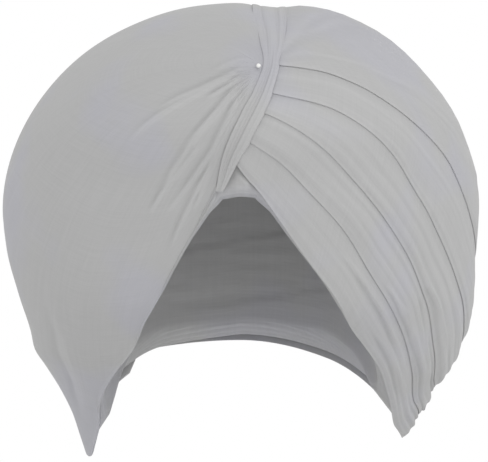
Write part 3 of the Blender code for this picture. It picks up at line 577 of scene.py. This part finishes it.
def makeTurn(index, material):
    top = index == 4
    along = shares(turns["steps"] + 1)
    lower, upper = foldLine(index, along), foldLine(index + 1, along)
    rise = shares(turns["rows"]) ** turns["topRise" if top else "rise"]
    width = rayLength(unit(lower), outsideForm) * np.linalg.norm(upper - lower, axis=-1)
    directions = unit(mix(lower[:, None], upper[:, None], rise[None, :, None]))
    riseGrid = np.repeat(rise[None], len(along), 0)
    if not top:  # it runs on a short way under the next turn
        above = foldLine(index + 2, along)
        aboveWidth = rayLength(unit(upper), outsideForm) * np.linalg.norm(above - upper, axis=-1)
        tuck = np.clip(layers["tuck"] / aboveWidth, 0.0, turns["mostTuck"])
        under = tuck[:, None] * shares(turns["tuckRows"] + 1)[1:]
        hidden = unit(mix(upper[:, None], above[:, None], under[..., None]))
        directions = np.concatenate([directions, hidden], 1)
        riseGrid = np.concatenate([riseGrid, 1 + under], 1)
    skin = Skin(directions)
    up = np.clip(riseGrid, 0.0, 1.0)
    alongGrid = np.repeat(along[:, None], up.shape[1], 1)
    if top:
        swell = turns["topSwell"] * curveOf(turns["topSection"], 1)(up)
        base = pleatGroove(skin.way) - swell * between(along, *turns["swellAt"])[:, None]
    else:
        puff = np.minimum(turns["puff"], turns["puffShare"] * width) * between(along, *turns["puffAt"])
        base = layers["step"] * riseGrid - puff[:, None] * np.sin(np.pi * up)
    width = width[:, None]
    fromEdge = up * width
    shownPart = ease(fromEdge, 0.0, turns["edgeFade"]) * (1.0 if top else 1 - ease(up, *turns["upperFade"]))
    soft = turns["unevenness"] * waves(skin.at(base), turns["waveSize"], 20 + index) * shownPart
    long = creasesAlong(alongGrid, up, width, 40 + index, **turns["long"])
    tips = creasesAlong(alongGrid, up, width, 60 + index, middle=turns["tipAt"][index], **turns["tips"])
    drawn = lineHeight(skin.way, turns["drawn"][index])
    tipShare = min(1.0, 1.4 - 0.3 * index)
    detail = np.clip((long + tipShare * tips + drawn) * shownPart, *turns["creaseRange"])
    drop = turns["edgeDrop"] * hump(fromEdge, turns["edgeDropSpread"])
    outer = skin.at(base + drop - soft - detail)
    # the lower edge closes on the turn that it lies over
    room = 0.0 if index == 0 else layers["step"] - layers["turnWall"] - turns["seatLeft"]
    inner = skin.at(base + layers["turnWall"] + room * hump(fromEdge, turns["seatSpread"]))
    # painted shade in the creases and in a line along the top of the turn, under the lower edge of the turn
    # above; painted highlight on ridges and near the turn's own lower edge
    underEdgeShade = 0.0 if top else hump((1 - up) * width, turns["shadeLineWidth"])
    paintedShading = np.clip(-detail / turns["creaseShadeDepth"], -0.4, 1.0) + turns["lineShade"] * underEdgeShade
    edge = hump(fromEdge, turns["edgeHighlightSpread"])
    piece = clothWall(f"rightTurn{index + 1}", outer, inner, edge, paintedShading, material)
    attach(piece, "root")
    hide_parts(f"right_turn_{index + 1}")


clothLook = clothMaterial("greyVoile", voile)
paintedShadeInnerLook = clothMaterial("greyVoileInsidePaintedShade", shadedVoile)
for k in range(5):
    makeTurn(k, clothLook)
print("turns made")

# The left turn under the cover
leftTurn = {
    "steps": 220, "rows": 44, "ends": (8.0, 140.0), "topElevation": 46.0, "pastOverlap": 0.0054,
    "rimTuck": 0.4, "tuckFrom": (8.0, 20.0), "width": 0.2, "edgeHighlightSpread": 0.003, "creaseShadeDepth": 0.0004,
    "creaseAt": (0.0, 0.02, 0.05, 0.12),
    "creases": {"count": 8, "height": 0.0003, "middle": 0.5, "reach": 0.4}, "flat": (0.20, 0.36),
}


def makeLeftTurn(material):
    across = shares(leftTurn["steps"])[:, None]
    up = (shares(leftTurn["rows"]) ** 1.6)[None, :]
    front, back = (mix(float(leftRim(end)), leftTurn["topElevation"], up) for end in leftTurn["ends"])
    start = pleatAzimuth(front) - degreesAcross(layers["jointClear"], toward(0.0 * up, front))
    seam = backSeam(back)
    end = seam + degreesAcross(layers["overlap"] + leftTurn["pastOverlap"], toward(seam, back)) - 360.0
    azimuth = mix(start, end, across)
    rimTuck = leftTurn["rimTuck"] * ease(-azimuth, *leftTurn["tuckFrom"])
    skin = Skin(toward(azimuth, mix(leftRim(-azimuth) + rimTuck, leftTurn["topElevation"], up)))
    upGrid, alongGrid = (np.broadcast_to(part, skin.reach.shape) for part in (up, across))
    detail = creasesAlong(alongGrid, upGrid, leftTurn["width"], 81, **leftTurn["creases"])
    detail = detail * between(upGrid, *leftTurn["creaseAt"])
    depth = leftTurnDepth + pleatSink(skin.way)
    outer, inner = skin.at(depth - detail), skin.at(depth + layers["turnWall"])
    # painted highlight along the lower edge, painted shade in the creases
    edge = hump(upGrid * leftTurn["width"], leftTurn["edgeHighlightSpread"])
    paintedShading = np.clip(-detail / leftTurn["creaseShadeDepth"], 0, 1)
    piece = clothWall("leftTurn", outer, inner, edge, paintedShading, material)
    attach(piece, "root")
    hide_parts("left_turn")


makeLeftTurn(clothLook)
print("left turn made")

# The cover, gathered at the pin
cover = {
    "spokes": 340, "rings": 125, "fanStart": 70.0, "fanEnd": -88.0, "rimStart": 6.5, "rimEnd": 140.0,
    "seamTop": 40.0, "lastPitch": 140.0, "solidSpokes": 34.0, "lowBlend": 1.5, "highBlend": 7.0,
    "firstRing": 0.0013, "unevenness": 0.0004, "rimRoll": 0.0005, "rollSpread": 0.0035, "edgeHighlightSpread": 0.0025,
    "seatShare": 0.7, "seatSpread": 0.005, "lineShade": 0.00042, "flat": (0.30, 0.36), "besidePin": 0.0016,
    "waveSize": 0.06, "pastOverlap": 0.0066, "seamReach": 26.0, "seamAt": (100.0, 130.0, 262.0, 290.0),
    "seamUpTo": (66.0, 74.0),
    # angle below level to the left of the pin, spread in degrees, height in metres, reach in degrees
    "gathers": [
        (-44.0, 2.0, 0.0003, 12), (-24.0, 1.8, 0.0003, 12), (-6.0, 1.8, 0.0004, 14), (6.0, 1.4, 0.0004, 16),
        (14.0, 1.2, 0.0005, 14), (21.0, 1.1, 0.0006, 18), (29.5, 1.1, 0.0005, 16), (36.5, 1.2, 0.0006, 18),
        (43.0, 1.4, 0.0007, 20), (49.0, 1.0, 0.0005, 18), (54.0, 1.1, 0.0006, 22), (60.0, 1.0, 0.0006, 22),
        (66.0, 1.0, 0.0005, 20),
    ],
    # folds on the form: points by azimuth and elevation, height, and spread
    "drawn": [
        ([(3.0, 35.0), (-0.6, 34.6), (-4.0, 33.2), (-7.3, 30.9)], 0.0003, 0.0012),
        ([(1.6, 32.9), (-3.6, 30.3), (-9.3, 27.5), (-15.0, 25.0), (-20.9, 22.0)], 0.0006, 0.0013),
        ([(1.4, 31.8), (-5.4, 28.6), (-12.2, 24.9), (-19.1, 21.5), (-28.2, 15.8)], 0.0006, 0.0014),
        ([(1.4, 31.3), (-2.8, 28.0), (-8.0, 24.8)], 0.0008, 0.0011),
        ([(0.9, 30.3), (-4.5, 23.2), (-9.1, 18.2), (-16.9, 10.4), (-25.1, 0.1)], 0.0006, 0.0014),
        ([(1.2, 29.7), (-3.8, 24.2), (-8.4, 19.6), (-14.2, 14.6)], 0.0004, 0.0010),
        ([(1.6, 29.3), (-2.3, 24.7), (-6.3, 19.7)], 0.0005, 0.0011),
        ([(-8.7, 16.4), (-14.3, 11.3), (-20.9, 5.1), (-24.8, 0.1)], 0.0006, 0.0012),
        ([(-0.1, 25.8), (-2.3, 21.6), (-6.3, 15.1), (-13.5, 7.6), (-20.9, -0.7)], 0.0007, 0.0013),
        ([(-0.4, 22.6), (-3.6, 17.2), (-8.0, 11.2), (-13.8, 4.4)], 0.0004, 0.0009),
        ([(-6.0, 13.3), (-11.7, 5.7), (-16.4, -2.1), (-20.2, -9.1)], 0.0006, 0.0013),
        ([(-4.2, 15.1), (-8.9, 8.1), (-12.9, 0.6)], 0.0005, 0.0011),
    ],
    # wide folds that the left tip pulls toward itself, fading in from above
    "pulled": [
        ([(-62.0, -14.0), (-70.0, -32.0), (-80.0, -45.0), (-93.0, -53.5)], 0.0005, 0.0032),
        ([(-84.0, 14.0), (-91.0, -10.0), (-96.0, -32.0), (-99.0, -51.0)], 0.0006, 0.0060),
        ([(-112.0, 32.0), (-113.0, 0.0), (-108.0, -28.0), (-101.5, -50.0)], 0.0009, 0.0060),
        ([(-134.0, 30.0), (-131.0, -2.0), (-119.0, -30.0), (-105.0, -49.0)], 0.0010, 0.0055),
        ([(-150.0, 24.0), (-143.0, -6.0), (-130.0, -30.0), (-112.0, -46.0)], 0.0009, 0.0048),
        ([(-160.0, 16.0), (-150.0, -12.0), (-138.0, -32.0), (-122.0, -43.0)], 0.0008, 0.0038),
    ],
}


def around(hub, angle, distance):
    level = unit(np.cross(hub, np.array([0.0, 0.0, 1.0])))
    leftward = level if level[0] < 0 else -level
    upward = np.cross(hub, leftward)
    downward = upward if upward[2] < 0 else -upward
    a, d = np.radians(angle)[..., None], np.radians(distance)[..., None]
    return np.cos(d) * hub + np.sin(d) * (np.cos(a) * leftward + np.sin(a) * downward)


def besideLine(pitch):
    return pleatLine(pitch, -degreesAcross(layers["jointClear"], pleatLine(pitch)))


def besidePleat(directions):
    elevation = elevationOf(directions)
    aside = (pleatAzimuth(elevation) - azimuthOf(directions)) * np.cos(np.radians(elevation))
    near = degreesAcross(float(pleatHalf(layers["pinPitch"])) + cover["besidePin"], directions)
    return ease(aside, 1.1 * near, 2.2 * near)


def seamRaise(directions):
    azimuth, elevation = np.mod(azimuthOf(directions), 360.0), elevationOf(directions)
    past = azimuth - backSeam(elevation)
    lap = degreesAcross(layers["overlap"] + cover["pastOverlap"], directions)
    overEnds = (1 - ease(past, lap, cover["seamReach"])) * between(azimuth, *cover["seamAt"])
    return overEnds * (1 - ease(elevation, *cover["seamUpTo"]))


def gatherHeight(angle, reach, rows):
    height = np.zeros(np.broadcast(angle, reach).shape)
    for foldAt, spread, tall, foldReach in rows:
        bend = 0.06 * np.sin(reach / 7.0 + foldAt) * spread
        fade = between(reach, 2.0, 9.0, 0.25 * foldReach, foldReach)
        widen = spread * (1 + 0.6 * np.exp(-reach / 4.0))
        height = height + tall * fade * foldShape((foldAt + bend - angle) / widen)
    return height


def makeCover(material):
    hub = besideLine(np.array(layers["pinPitch"]))
    turned = np.linspace(cover["rimStart"], cover["rimEnd"], 170)
    elevation = np.linspace(float(leftRim(cover["rimEnd"])) + 3.0, cover["seamTop"], 180)
    edge = np.concatenate([toward(-turned, leftRim(turned)), toward(backSeam(elevation), elevation)])
    # spokes placed as on the solid, where the rim and the seam have about as many each
    at = np.linspace(0, len(edge) - 1, cover["spokes"])
    edge = unit(np.stack([np.interp(at, np.arange(len(edge)), edge[:, k]) for k in range(3)], -1))
    firstRing = degreesAcross(cover["firstRing"], hub)
    reach = np.degrees(np.arccos(edge @ hub))
    distance = mix(firstRing, reach[:, None], shares(cover["rings"])[None, :] ** 1.1)
    share = (distance / reach[:, None])[..., None]
    leaving = np.linspace(cover["fanStart"], cover["fanEnd"], len(edge))
    bend = around(hub, leaving, 0.5 * reach)[:, None, :]
    directions = unit((1 - share) ** 2 * hub + 2 * share * (1 - share) * bend + share**2 * edge[:, None, :])
    # the first and the last spokes lie along the pleat
    spoke = np.linspace(0.0, cover["solidSpokes"], len(edge))[:, None, None]
    lowLine = besideLine(mix(layers["pinPitch"], pleatRows[0][0], share[0, :, 0]))
    highLine = besideLine(mix(layers["pinPitch"], cover["lastPitch"], share[-1, :, 0]))
    low = np.clip(1 - spoke / cover["lowBlend"], 0.0, 1.0) ** 2
    high = np.clip(1 - (cover["solidSpokes"] - spoke) / cover["highBlend"], 0.0, 1.0) ** 2
    skin = Skin(directions + (lowLine - directions[0])[None] * low + (highLine - directions[-1])[None] * high)
    clear, raised = besidePleat(skin.way), seamRaise(skin.way)
    base = pleatGroove(skin.way) + pleatSink(skin.way) - coverRaise * raised
    fromRim = (1 - share[..., 0]) * reach[:, None] * metresPerDegree
    inField = ease(fromRim, 0.0, 0.006) * ease(distance, 2.0, 8.0)
    soft = cover["unevenness"] * waves(skin.at(base), cover["waveSize"], 5) * inField
    roll = cover["rimRoll"] * hump(fromRim, cover["rollSpread"])
    ridges = gatherHeight(leaving[:, None], distance, cover["gathers"]) * clear
    drawn = lineHeight(skin.way, cover["drawn"]) * clear + lineHeight(skin.way, cover["pulled"], 0.6)
    detail = ridges + drawn * inField
    outer = skin.at(base - soft - roll - detail)
    close = cover["seatShare"] * layers["gap"] * hump(fromRim, cover["seatSpread"]) * raised
    inner = skin.at(base + layers["coverWall"] + close)
    # painted shade in the hollows of the gathers and folds and painted highlight on their ridges, both faded
    # near the pin; painted highlight along the rim
    paintedShading = np.clip(-detail / cover["lineShade"], -0.6, 1.0) * ease(distance, 1.0, 12.0)
    piece = clothWall("leftCover", outer, inner, hump(fromRim, cover["edgeHighlightSpread"]), paintedShading, material)
    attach(piece, "root")
    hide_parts("left_cover")


makeCover(clothLook)
print("cover made")

# The pleat over the front and the crown
pleat = {
    "steps": 280, "rows": 64, "endPitch": 134.0, "fade": 22.0, "seat": 0.0002, "least": 0.0003,
    "thick": 0.0019, "fullFrom": 14.0, "overPin": (27.0, 43.0), "sway": 0.05, "edgeHighlightSpread": 0.12,
    "flat": (0.020, 0.31),
    # height across it below the pin, where its left part runs level into the cover, and over the crown
    "low": [(-1.0, 0.0), (-0.8, 0.14), (-0.62, 0.06), (-0.46, 0.24), (-0.28, 0.16), (-0.12, 0.3),
            (0.04, 0.18), (0.2, 0.72), (0.34, 0.82), (0.56, 0.68), (0.8, 0.86), (1.0, 0.6)],
    "high": [(-1.0, 0.05), (-0.84, 0.34), (-0.66, 0.42), (-0.52, 0.32), (-0.36, 0.6), (0.0, 0.8),
             (0.28, 0.76), (0.44, 0.6), (0.6, 0.8), (0.82, 0.66), (1.0, 0.1)],
}


def turnFace(directions):  # how far the turns' faces lie under the form, each going down to the turn over it
    elevation, azimuth = elevationOf(directions), azimuthOf(directions)
    depth = np.zeros(elevation.shape)
    for k in range(4):
        low, high = foldElevation[k](azimuth), foldElevation[k + 1](azimuth)
        rise = (elevation - low) / np.maximum(high - low, 0.5)
        depth = np.where((rise >= 0) & (rise < 1), layers["step"] * rise, depth)
    beside = np.minimum(np.roll(depth, 1, 0), np.roll(depth, -1, 0))
    return np.minimum(beside, depth) * ease(azimuth, -2.0, 3.0)


def makePleat(material):
    first, last = pleatRows[0][0], pleat["endPitch"]
    pitch = np.linspace(first, last, pleat["steps"])
    even = np.linspace(-1.0, 1.0, pleat["rows"])
    across = (np.sin(even * math.pi / 2) * 0.5 + even * 0.5)[None, :]
    halfWidth = pleatHalf(pitch)[:, None]
    side = pleatSide(pitch)[:, None] + degreesAcross(pleatHalf(pitch), pleatLine(pitch))[:, None] * across
    skin = Skin(towardPitch(pitch[:, None], side))
    place = across + pleat["sway"] * np.sin(pitch / 9.0)[:, None] * (1 - across**2)
    low, high = (curveOf(pleat[name], 1)(place) for name in ("low", "high"))
    fade = between(pitch, first, pleat["fullFrom"], last - pleat["fade"], last)
    crease = mix(low, high, ease(pitch, *pleat["overPin"])[:, None]) * mix(0.35, 1.0, fade)[:, None]
    offset = halfWidth * across
    seat = pleat["seat"] + coverRaise * seamRaise(skin.way) * (1 - ease(offset, -0.0018, 0.0030))
    bottom = pleatGroove(skin.way) + pleatSink(skin.way) * ease(-across, -0.1, 0.5) - seat
    thickness = mix(pleat["least"], pleat["thick"], crease)
    outer = skin.at(bottom - thickness)
    inner = skin.at(bottom + turnFace(skin.way) * ease(offset, 0.0005, 0.0030))
    # painted highlight toward the pleat's side edges and on its high crests; painted shade on the steep sides
    # of its creases
    edge = hump(1 - np.abs(across), pleat["edgeHighlightSpread"]) * np.ones((len(pitch), 1))
    slope = np.abs(np.gradient(crease, axis=1)) * pleat["rows"] / 2
    paintedShading = np.clip(slope - 0.8, 0.0, 1.2) * 0.4 - 0.5 * np.clip(crease - 0.7, 0.0, 0.2) / 0.2
    piece = clothWall("frontPleat", outer, inner, edge, paintedShading, material)
    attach(piece, "root")
    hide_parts("front_pleat")


makePleat(clothLook)
print("pleat made")

# The wound inner turns, hollow for the head
core = {
    "columns": 300, "outerRows": 46, "innerRows": 110, "rimRows": 56, "leastWall": 0.0032, "bands": 7,
    "bandStep": 0.0011, "lapAt": 0.94, "unevenness": 0.0005, "back": 0.0016, "layerPitch": 0.0055,
    "layerDepth": 0.0009, "layersEnd": (-54.0, -40.0), "rimBulge": 0.0012, "rimSoften": 12,
    "forward": 0.0021, "onRight": (3.0, 14.0, 196.0, 212.0), "crownFrom": (52.0, 64.0),
    "bandsUpTo": (62.0, 80.0),
    "drawn": [([(-4.5, 6.5), (-0.6, 10.1), (4.0, 6.6)], 0.0007, 0.0014),
              ([(-3.5, 13.0), (0.9, 9.2), (5.5, 6.0)], 0.0007, 0.0014)],
}


def coreRim(azimuth):
    right = foldElevation[0](azimuth) + 1.5 * ease(azimuth, 5.0, 10.0)
    left = leftRim(-azimuth) + 1.5 * ease(-azimuth, 6.0, 11.0)
    return np.where(azimuth > 5.0, right, np.where(azimuth < -6.0, left, browEdge(azimuth)))


def brow(directions):  # 1 at the middle of the triangle under the pleat
    return hump(azimuthOf(directions) - 0.6, 2.8) * hump(elevationOf(directions) - 8.6, 2.4)


def coreDepth(directions):
    azimuth, elevation = np.mod(azimuthOf(directions), 360.0), elevationOf(directions)
    low, high = foldElevation[0](azimuth), foldElevation[1](azimuth)
    aboveRim = ease((elevation - low) / (high - low), 0.1, 0.9)
    underTurn, forward = layers["turnWall"] + layers["gap"], core["forward"] * brow(directions)
    right = underTurn + 1.5 * layers["step"] * aboveRim - forward
    left = leftTurnDepth + underTurn + pleatSink(directions) - forward
    atCrown = coverRaise + pleatGroove(directions, 2 * layers["grooveSpread"])
    below = mix(left, right, between(azimuth, *core["onRight"]))
    return mix(below, atCrown, ease(elevation, *core["crownFrom"]))


def makeInner(material):
    turn = np.linspace(-1.0, 1.0, core["columns"] + 1)
    azimuth = 180.0 * (0.6 * turn + 0.4 * turn**3)
    rim = coreRim(azimuth)
    rises = [shares(core["outerRows"]) ** 1.3, shares(core["innerRows"])]
    outside, inside = (Skin(toward(azimuth[:, None], mix(rim[:, None], 90.0, rise))) for rise in rises)
    outer = outside.at(coreDepth(outside.way) - lineHeight(outside.way, core["drawn"]))
    most = np.linalg.norm(inside.at(coreDepth(inside.way) + core["leastWall"]) - centre, axis=-1)
    length = np.minimum(rayLength(inside.way, outsideHead), most)
    # bands wound round the hollow, each lapping the one above it, and crossing over the brow
    elevation = elevationOf(inside.way)
    tilt = 9.0 * np.cos(np.radians(azimuth))[:, None] + 5.0 * np.sin(np.radians(2 * azimuth))[:, None]
    band = (elevation + tilt + 60.0) / (150.0 / core["bands"])
    part, lapAt = band - np.floor(band), core["lapAt"]
    lap = np.where(part < lapAt, part / lapAt, 1 - (part - lapAt) / (1 - lapAt))
    fade = (1 - ease(elevation, *core["bandsUpTo"])) * ease(rises[1], 0.0, 0.06)
    at = centre + length[..., None] * inside.way
    soft = core["unevenness"] * (waves(at * np.array([0.5, 0.5, 2.4]), 0.028, 9) + 1.0) * fade
    length = length + (core["back"] - core["bandStep"] * lap) * fade - 0.6 * soft
    inner = centre + length[..., None] * inside.way
    # the rim between them shows the edges of the wound layers
    steps = shares(core["rimRows"] + 2)[1:-1]
    a, b = outer[:, 0], inner[:, 0]
    gap = np.linalg.norm(b - a, axis=-1)
    tangent = np.gradient(np.concatenate([a[-3:-1], a, a[1:3]]), axis=0)[2:-2]
    away = unit(np.cross(unit(tangent), unit(a - centre)))
    away = away * np.where((away * (outer[:, 0] - outer[:, 2])).sum(-1) < 0, -1.0, 1.0)[:, None]
    for _ in range(core["rimSoften"]):  # evened out, so that the layers turn the rim's corners smoothly
        ring = np.concatenate([away[-2:-1], away, away[1:2]])
        away = unit(ring[:-2] + ring[1:-1] + ring[2:])
    showing = ease(rim, *core["layersEnd"])  # the layers run out before the two tips
    strip = []
    for t in steps:
        ripple = np.abs(np.sin(math.pi * t * gap / core["layerPitch"])) * core["layerDepth"]
        bulge = 4 * t * (1 - t) * np.minimum(core["rimBulge"], 0.12 * gap)
        height = (bulge + ripple * between(t, 0.0, 0.1, 0.9, 1.0)) * showing
        strip.append(mix(a, b, t) + away * height[:, None])
    grid = np.concatenate([outer[:, ::-1], np.stack(strip, 1), inner], 1)
    # painted light on the inner turns: the brow triangle under the pleat lighter, the rim strip a little
    # lighter and darker, painted shade at the foot of each band's lapped edge and a painted highlight on that
    # edge
    plainRim = np.ones((len(azimuth), len(steps)))
    innerShading = [-0.8 * brow(outside.way)[:, ::-1], 0.1 * plainRim, np.clip(0.6 - part * 6, 0, 1) * fade]
    innerEdgeHighlight = [np.zeros(outer.shape[:2]), 0.3 * plainRim, hump(part - lapAt, 0.05) * fade]
    marks = {"edgeHighlight": np.concatenate(innerEdgeHighlight, 1), "paintedShading": np.concatenate(innerShading, 1)}
    n, m = grid.shape[:2]
    uv = metres(grid).reshape(-1, 2)
    piece = meshObject("innerTurns", grid.reshape(-1, 3), gridFaces(n, m, 0), uv, marks, material)
    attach(piece, "root")
    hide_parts("inner_turns")


makeInner(paintedShadeInnerLook)
print("inner turns made")

# The dress pin
pin = {
    "head": 0.0026, "headFlat": 0.88, "shank": 0.0008, "length": 0.024, "point": 0.002, "pointShare": 0.15,
    "seat": 0.0006, "white": (0.9, 0.9, 0.88, 1), "steel": (0.72, 0.72, 0.74, 1),
}


def pinMaterial(name, colour, metal, rough):
    material, tree, shader = newMaterial(name)
    speck = noiseNode(tree, newNode(tree, "TexCoord").outputs["Object"], 2400.0, 3.0)
    darker = tuple(0.9 * c for c in colour[:3]) + (1,)
    tint = newNode(tree, "Mix", {"A": colour, "B": darker}, data_type="RGBA")
    rub = newNode(tree, "MapRange", {"To Min": rough, "To Max": rough + 0.15})
    join(tree, (speck, tint, "Factor"), (tint, "Result", shader, "Base Color"), (speck, rub, "Value"),
         (rub, "Result", shader, "Roughness"))
    setInputs(shader, {"Metallic": metal})
    return material


def clearSelection():
    if bpy.context.object and bpy.context.object.mode != "OBJECT":
        bpy.ops.object.mode_set(mode="OBJECT")
    bpy.ops.object.select_all(action="DESELECT")


def makePin():
    pitch = layers["pinPitch"]
    aside = pleatHalf(pitch) + pin["head"]
    way = pleatLine(pitch, -degreesAcross(aside, pleatLine(pitch)))
    place = Skin(way[None, :]).at(np.zeros(1))[0]
    direction = Vector(way)
    headAt = Vector(place) + direction * (pin["seat"] + pin["head"] / 2)
    shankAt = Vector(place) - direction * (pin["length"] / 2 - pin["seat"])
    turnTo = direction.to_track_quat("Z", "Y").to_euler()
    clearSelection()
    bpy.ops.mesh.primitive_uv_sphere_add(segments=32, ring_count=20, radius=pin["head"] / 2,
                                         location=headAt, rotation=turnTo)
    head = bpy.context.object
    bpy.ops.object.mode_set(mode="EDIT")
    bpy.ops.mesh.select_all(action="SELECT")
    bpy.ops.transform.resize(value=(1.0, 1.0, pin["headFlat"]), orient_type="LOCAL")
    clearSelection()
    bpy.ops.mesh.primitive_cylinder_add(vertices=20, radius=pin["shank"] / 2, depth=pin["length"],
                                        location=shankAt, rotation=turnTo)
    shank = bpy.context.object
    bpy.ops.object.mode_set(mode="EDIT")
    work = bmesh.from_edit_mesh(shank.data)
    for face in work.faces:
        face.select_set(face.normal.z < -0.9)
    bmesh.update_edit_mesh(shank.data)
    bpy.ops.mesh.extrude_region_move(TRANSFORM_OT_translate={"value": tuple(-direction * pin["point"])})
    bpy.ops.transform.resize(value=(pin["pointShare"],) * 3)
    bpy.ops.object.mode_set(mode="OBJECT")
    head.data.materials.append(pinMaterial("pinHeadWhite", pin["white"], 0.0, 0.25))
    shank.data.materials.append(pinMaterial("pinSteel", pin["steel"], 1.0, 0.3))
    for piece, name in ((head, "pinHead"), (shank, "pinShank")):
        clearSelection()
        piece.name = piece.data.name = name
        piece.select_set(True)
        bpy.context.view_layer.objects.active = piece
        bpy.ops.object.transform_apply(location=True, rotation=True, scale=True)
        bpy.ops.object.shade_smooth()
        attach(piece, "root")
    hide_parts("pin")


makePin()
print("pin made")

# Floor, light and camera
studio = {
    "floorBelow": 0.30, "floorRadius": 1.28, "floorFade": (0.4, 0.97), "worldLight": 0.92,
    "lights": [("key", 4.9, 0.9, (1.3, -1.5, 0.75)), ("fill", 7.0, 1.6, (0.5, -2.3, -0.6))],
    "aim": (0, 0, -0.07), "camera": (0.0021, -2.4, -0.0828), "lens": 295.0,
}


def makeFloor():
    clearSelection()
    radius = studio["floorRadius"]
    bpy.ops.mesh.primitive_circle_add(vertices=96, radius=radius, fill_type="NGON",
                                      location=(0, 0, -studio["floorBelow"]))
    floor = bpy.context.object
    floor.name = "paleFloor"
    paint, tree, shader = newMaterial("paleFloor")
    setInputs(shader, {"Base Color": (0.86, 0.86, 0.86, 1), "Roughness": 0.9})
    clear, blend, facing, place = (newNode(tree, kind) for kind in (
        "BsdfTransparent", "MixShader", "NewGeometry", "TexCoord"))
    far = newNode(tree, "VectorMath", operation="LENGTH")
    start, end = (share * radius for share in studio["floorFade"])
    fade = newNode(tree, "MapRange", {"From Min": start, "From Max": end}, interpolation_type="SMOOTHSTEP")
    unseen = mathNode(tree, "MAXIMUM", facing.outputs["Backfacing"], fade.outputs["Result"])
    join(tree, (place, "Object", far, 0), (far, "Value", fade, "Value"), (unseen, blend, "Fac"),
         (shader, 0, blend, 1), (clear, 0, blend, 2), (blend, 0, tree.nodes["Material Output"], "Surface"))
    floor.data.materials.append(paint)


def makeWorld():  # soft light all round, behind a white backdrop that only the camera sees
    world = bpy.data.worlds.new("studio")
    world.use_nodes = True
    bpy.context.scene.world = world
    tree = world.node_tree
    light = tree.nodes["Background"]
    setInputs(light, {"Color": (1, 1, 1, 1), "Strength": studio["worldLight"]})
    seen = newNode(tree, "Background", {"Color": (1, 1, 1, 1)})
    path, choose = newNode(tree, "LightPath"), newNode(tree, "MixShader")
    join(tree, (path, "Is Camera Ray", choose, "Fac"), (light, 0, choose, 1), (seen, 0, choose, 2),
         (choose, 0, tree.nodes["World Output"], "Surface"))


def makeLights():
    for name, power, size, at in studio["lights"]:
        lamp = bpy.data.lights.new(name, "AREA")
        lamp.energy, lamp.size = power, size
        holder = bpy.data.objects.new(name, lamp)
        holder.location = at
        holder.rotation_euler = (Vector(studio["aim"]) - Vector(at)).to_track_quat("-Z", "Y").to_euler()
        bpy.context.scene.collection.objects.link(holder)


def makeCamera():
    lens = bpy.data.cameras.new("photoCamera")
    lens.lens, lens.sensor_width = studio["lens"], 36.0
    camera = bpy.data.objects.new("photoCamera", lens)
    camera.location = studio["camera"]
    camera.rotation_euler = (math.radians(90), 0, 0)
    bpy.context.scene.collection.objects.link(camera)
    bpy.context.scene.camera = camera
    bpy.context.scene.view_settings.view_transform = "Standard"


makeFloor()
makeWorld()
makeLights()
makeCamera()
print("studio made")
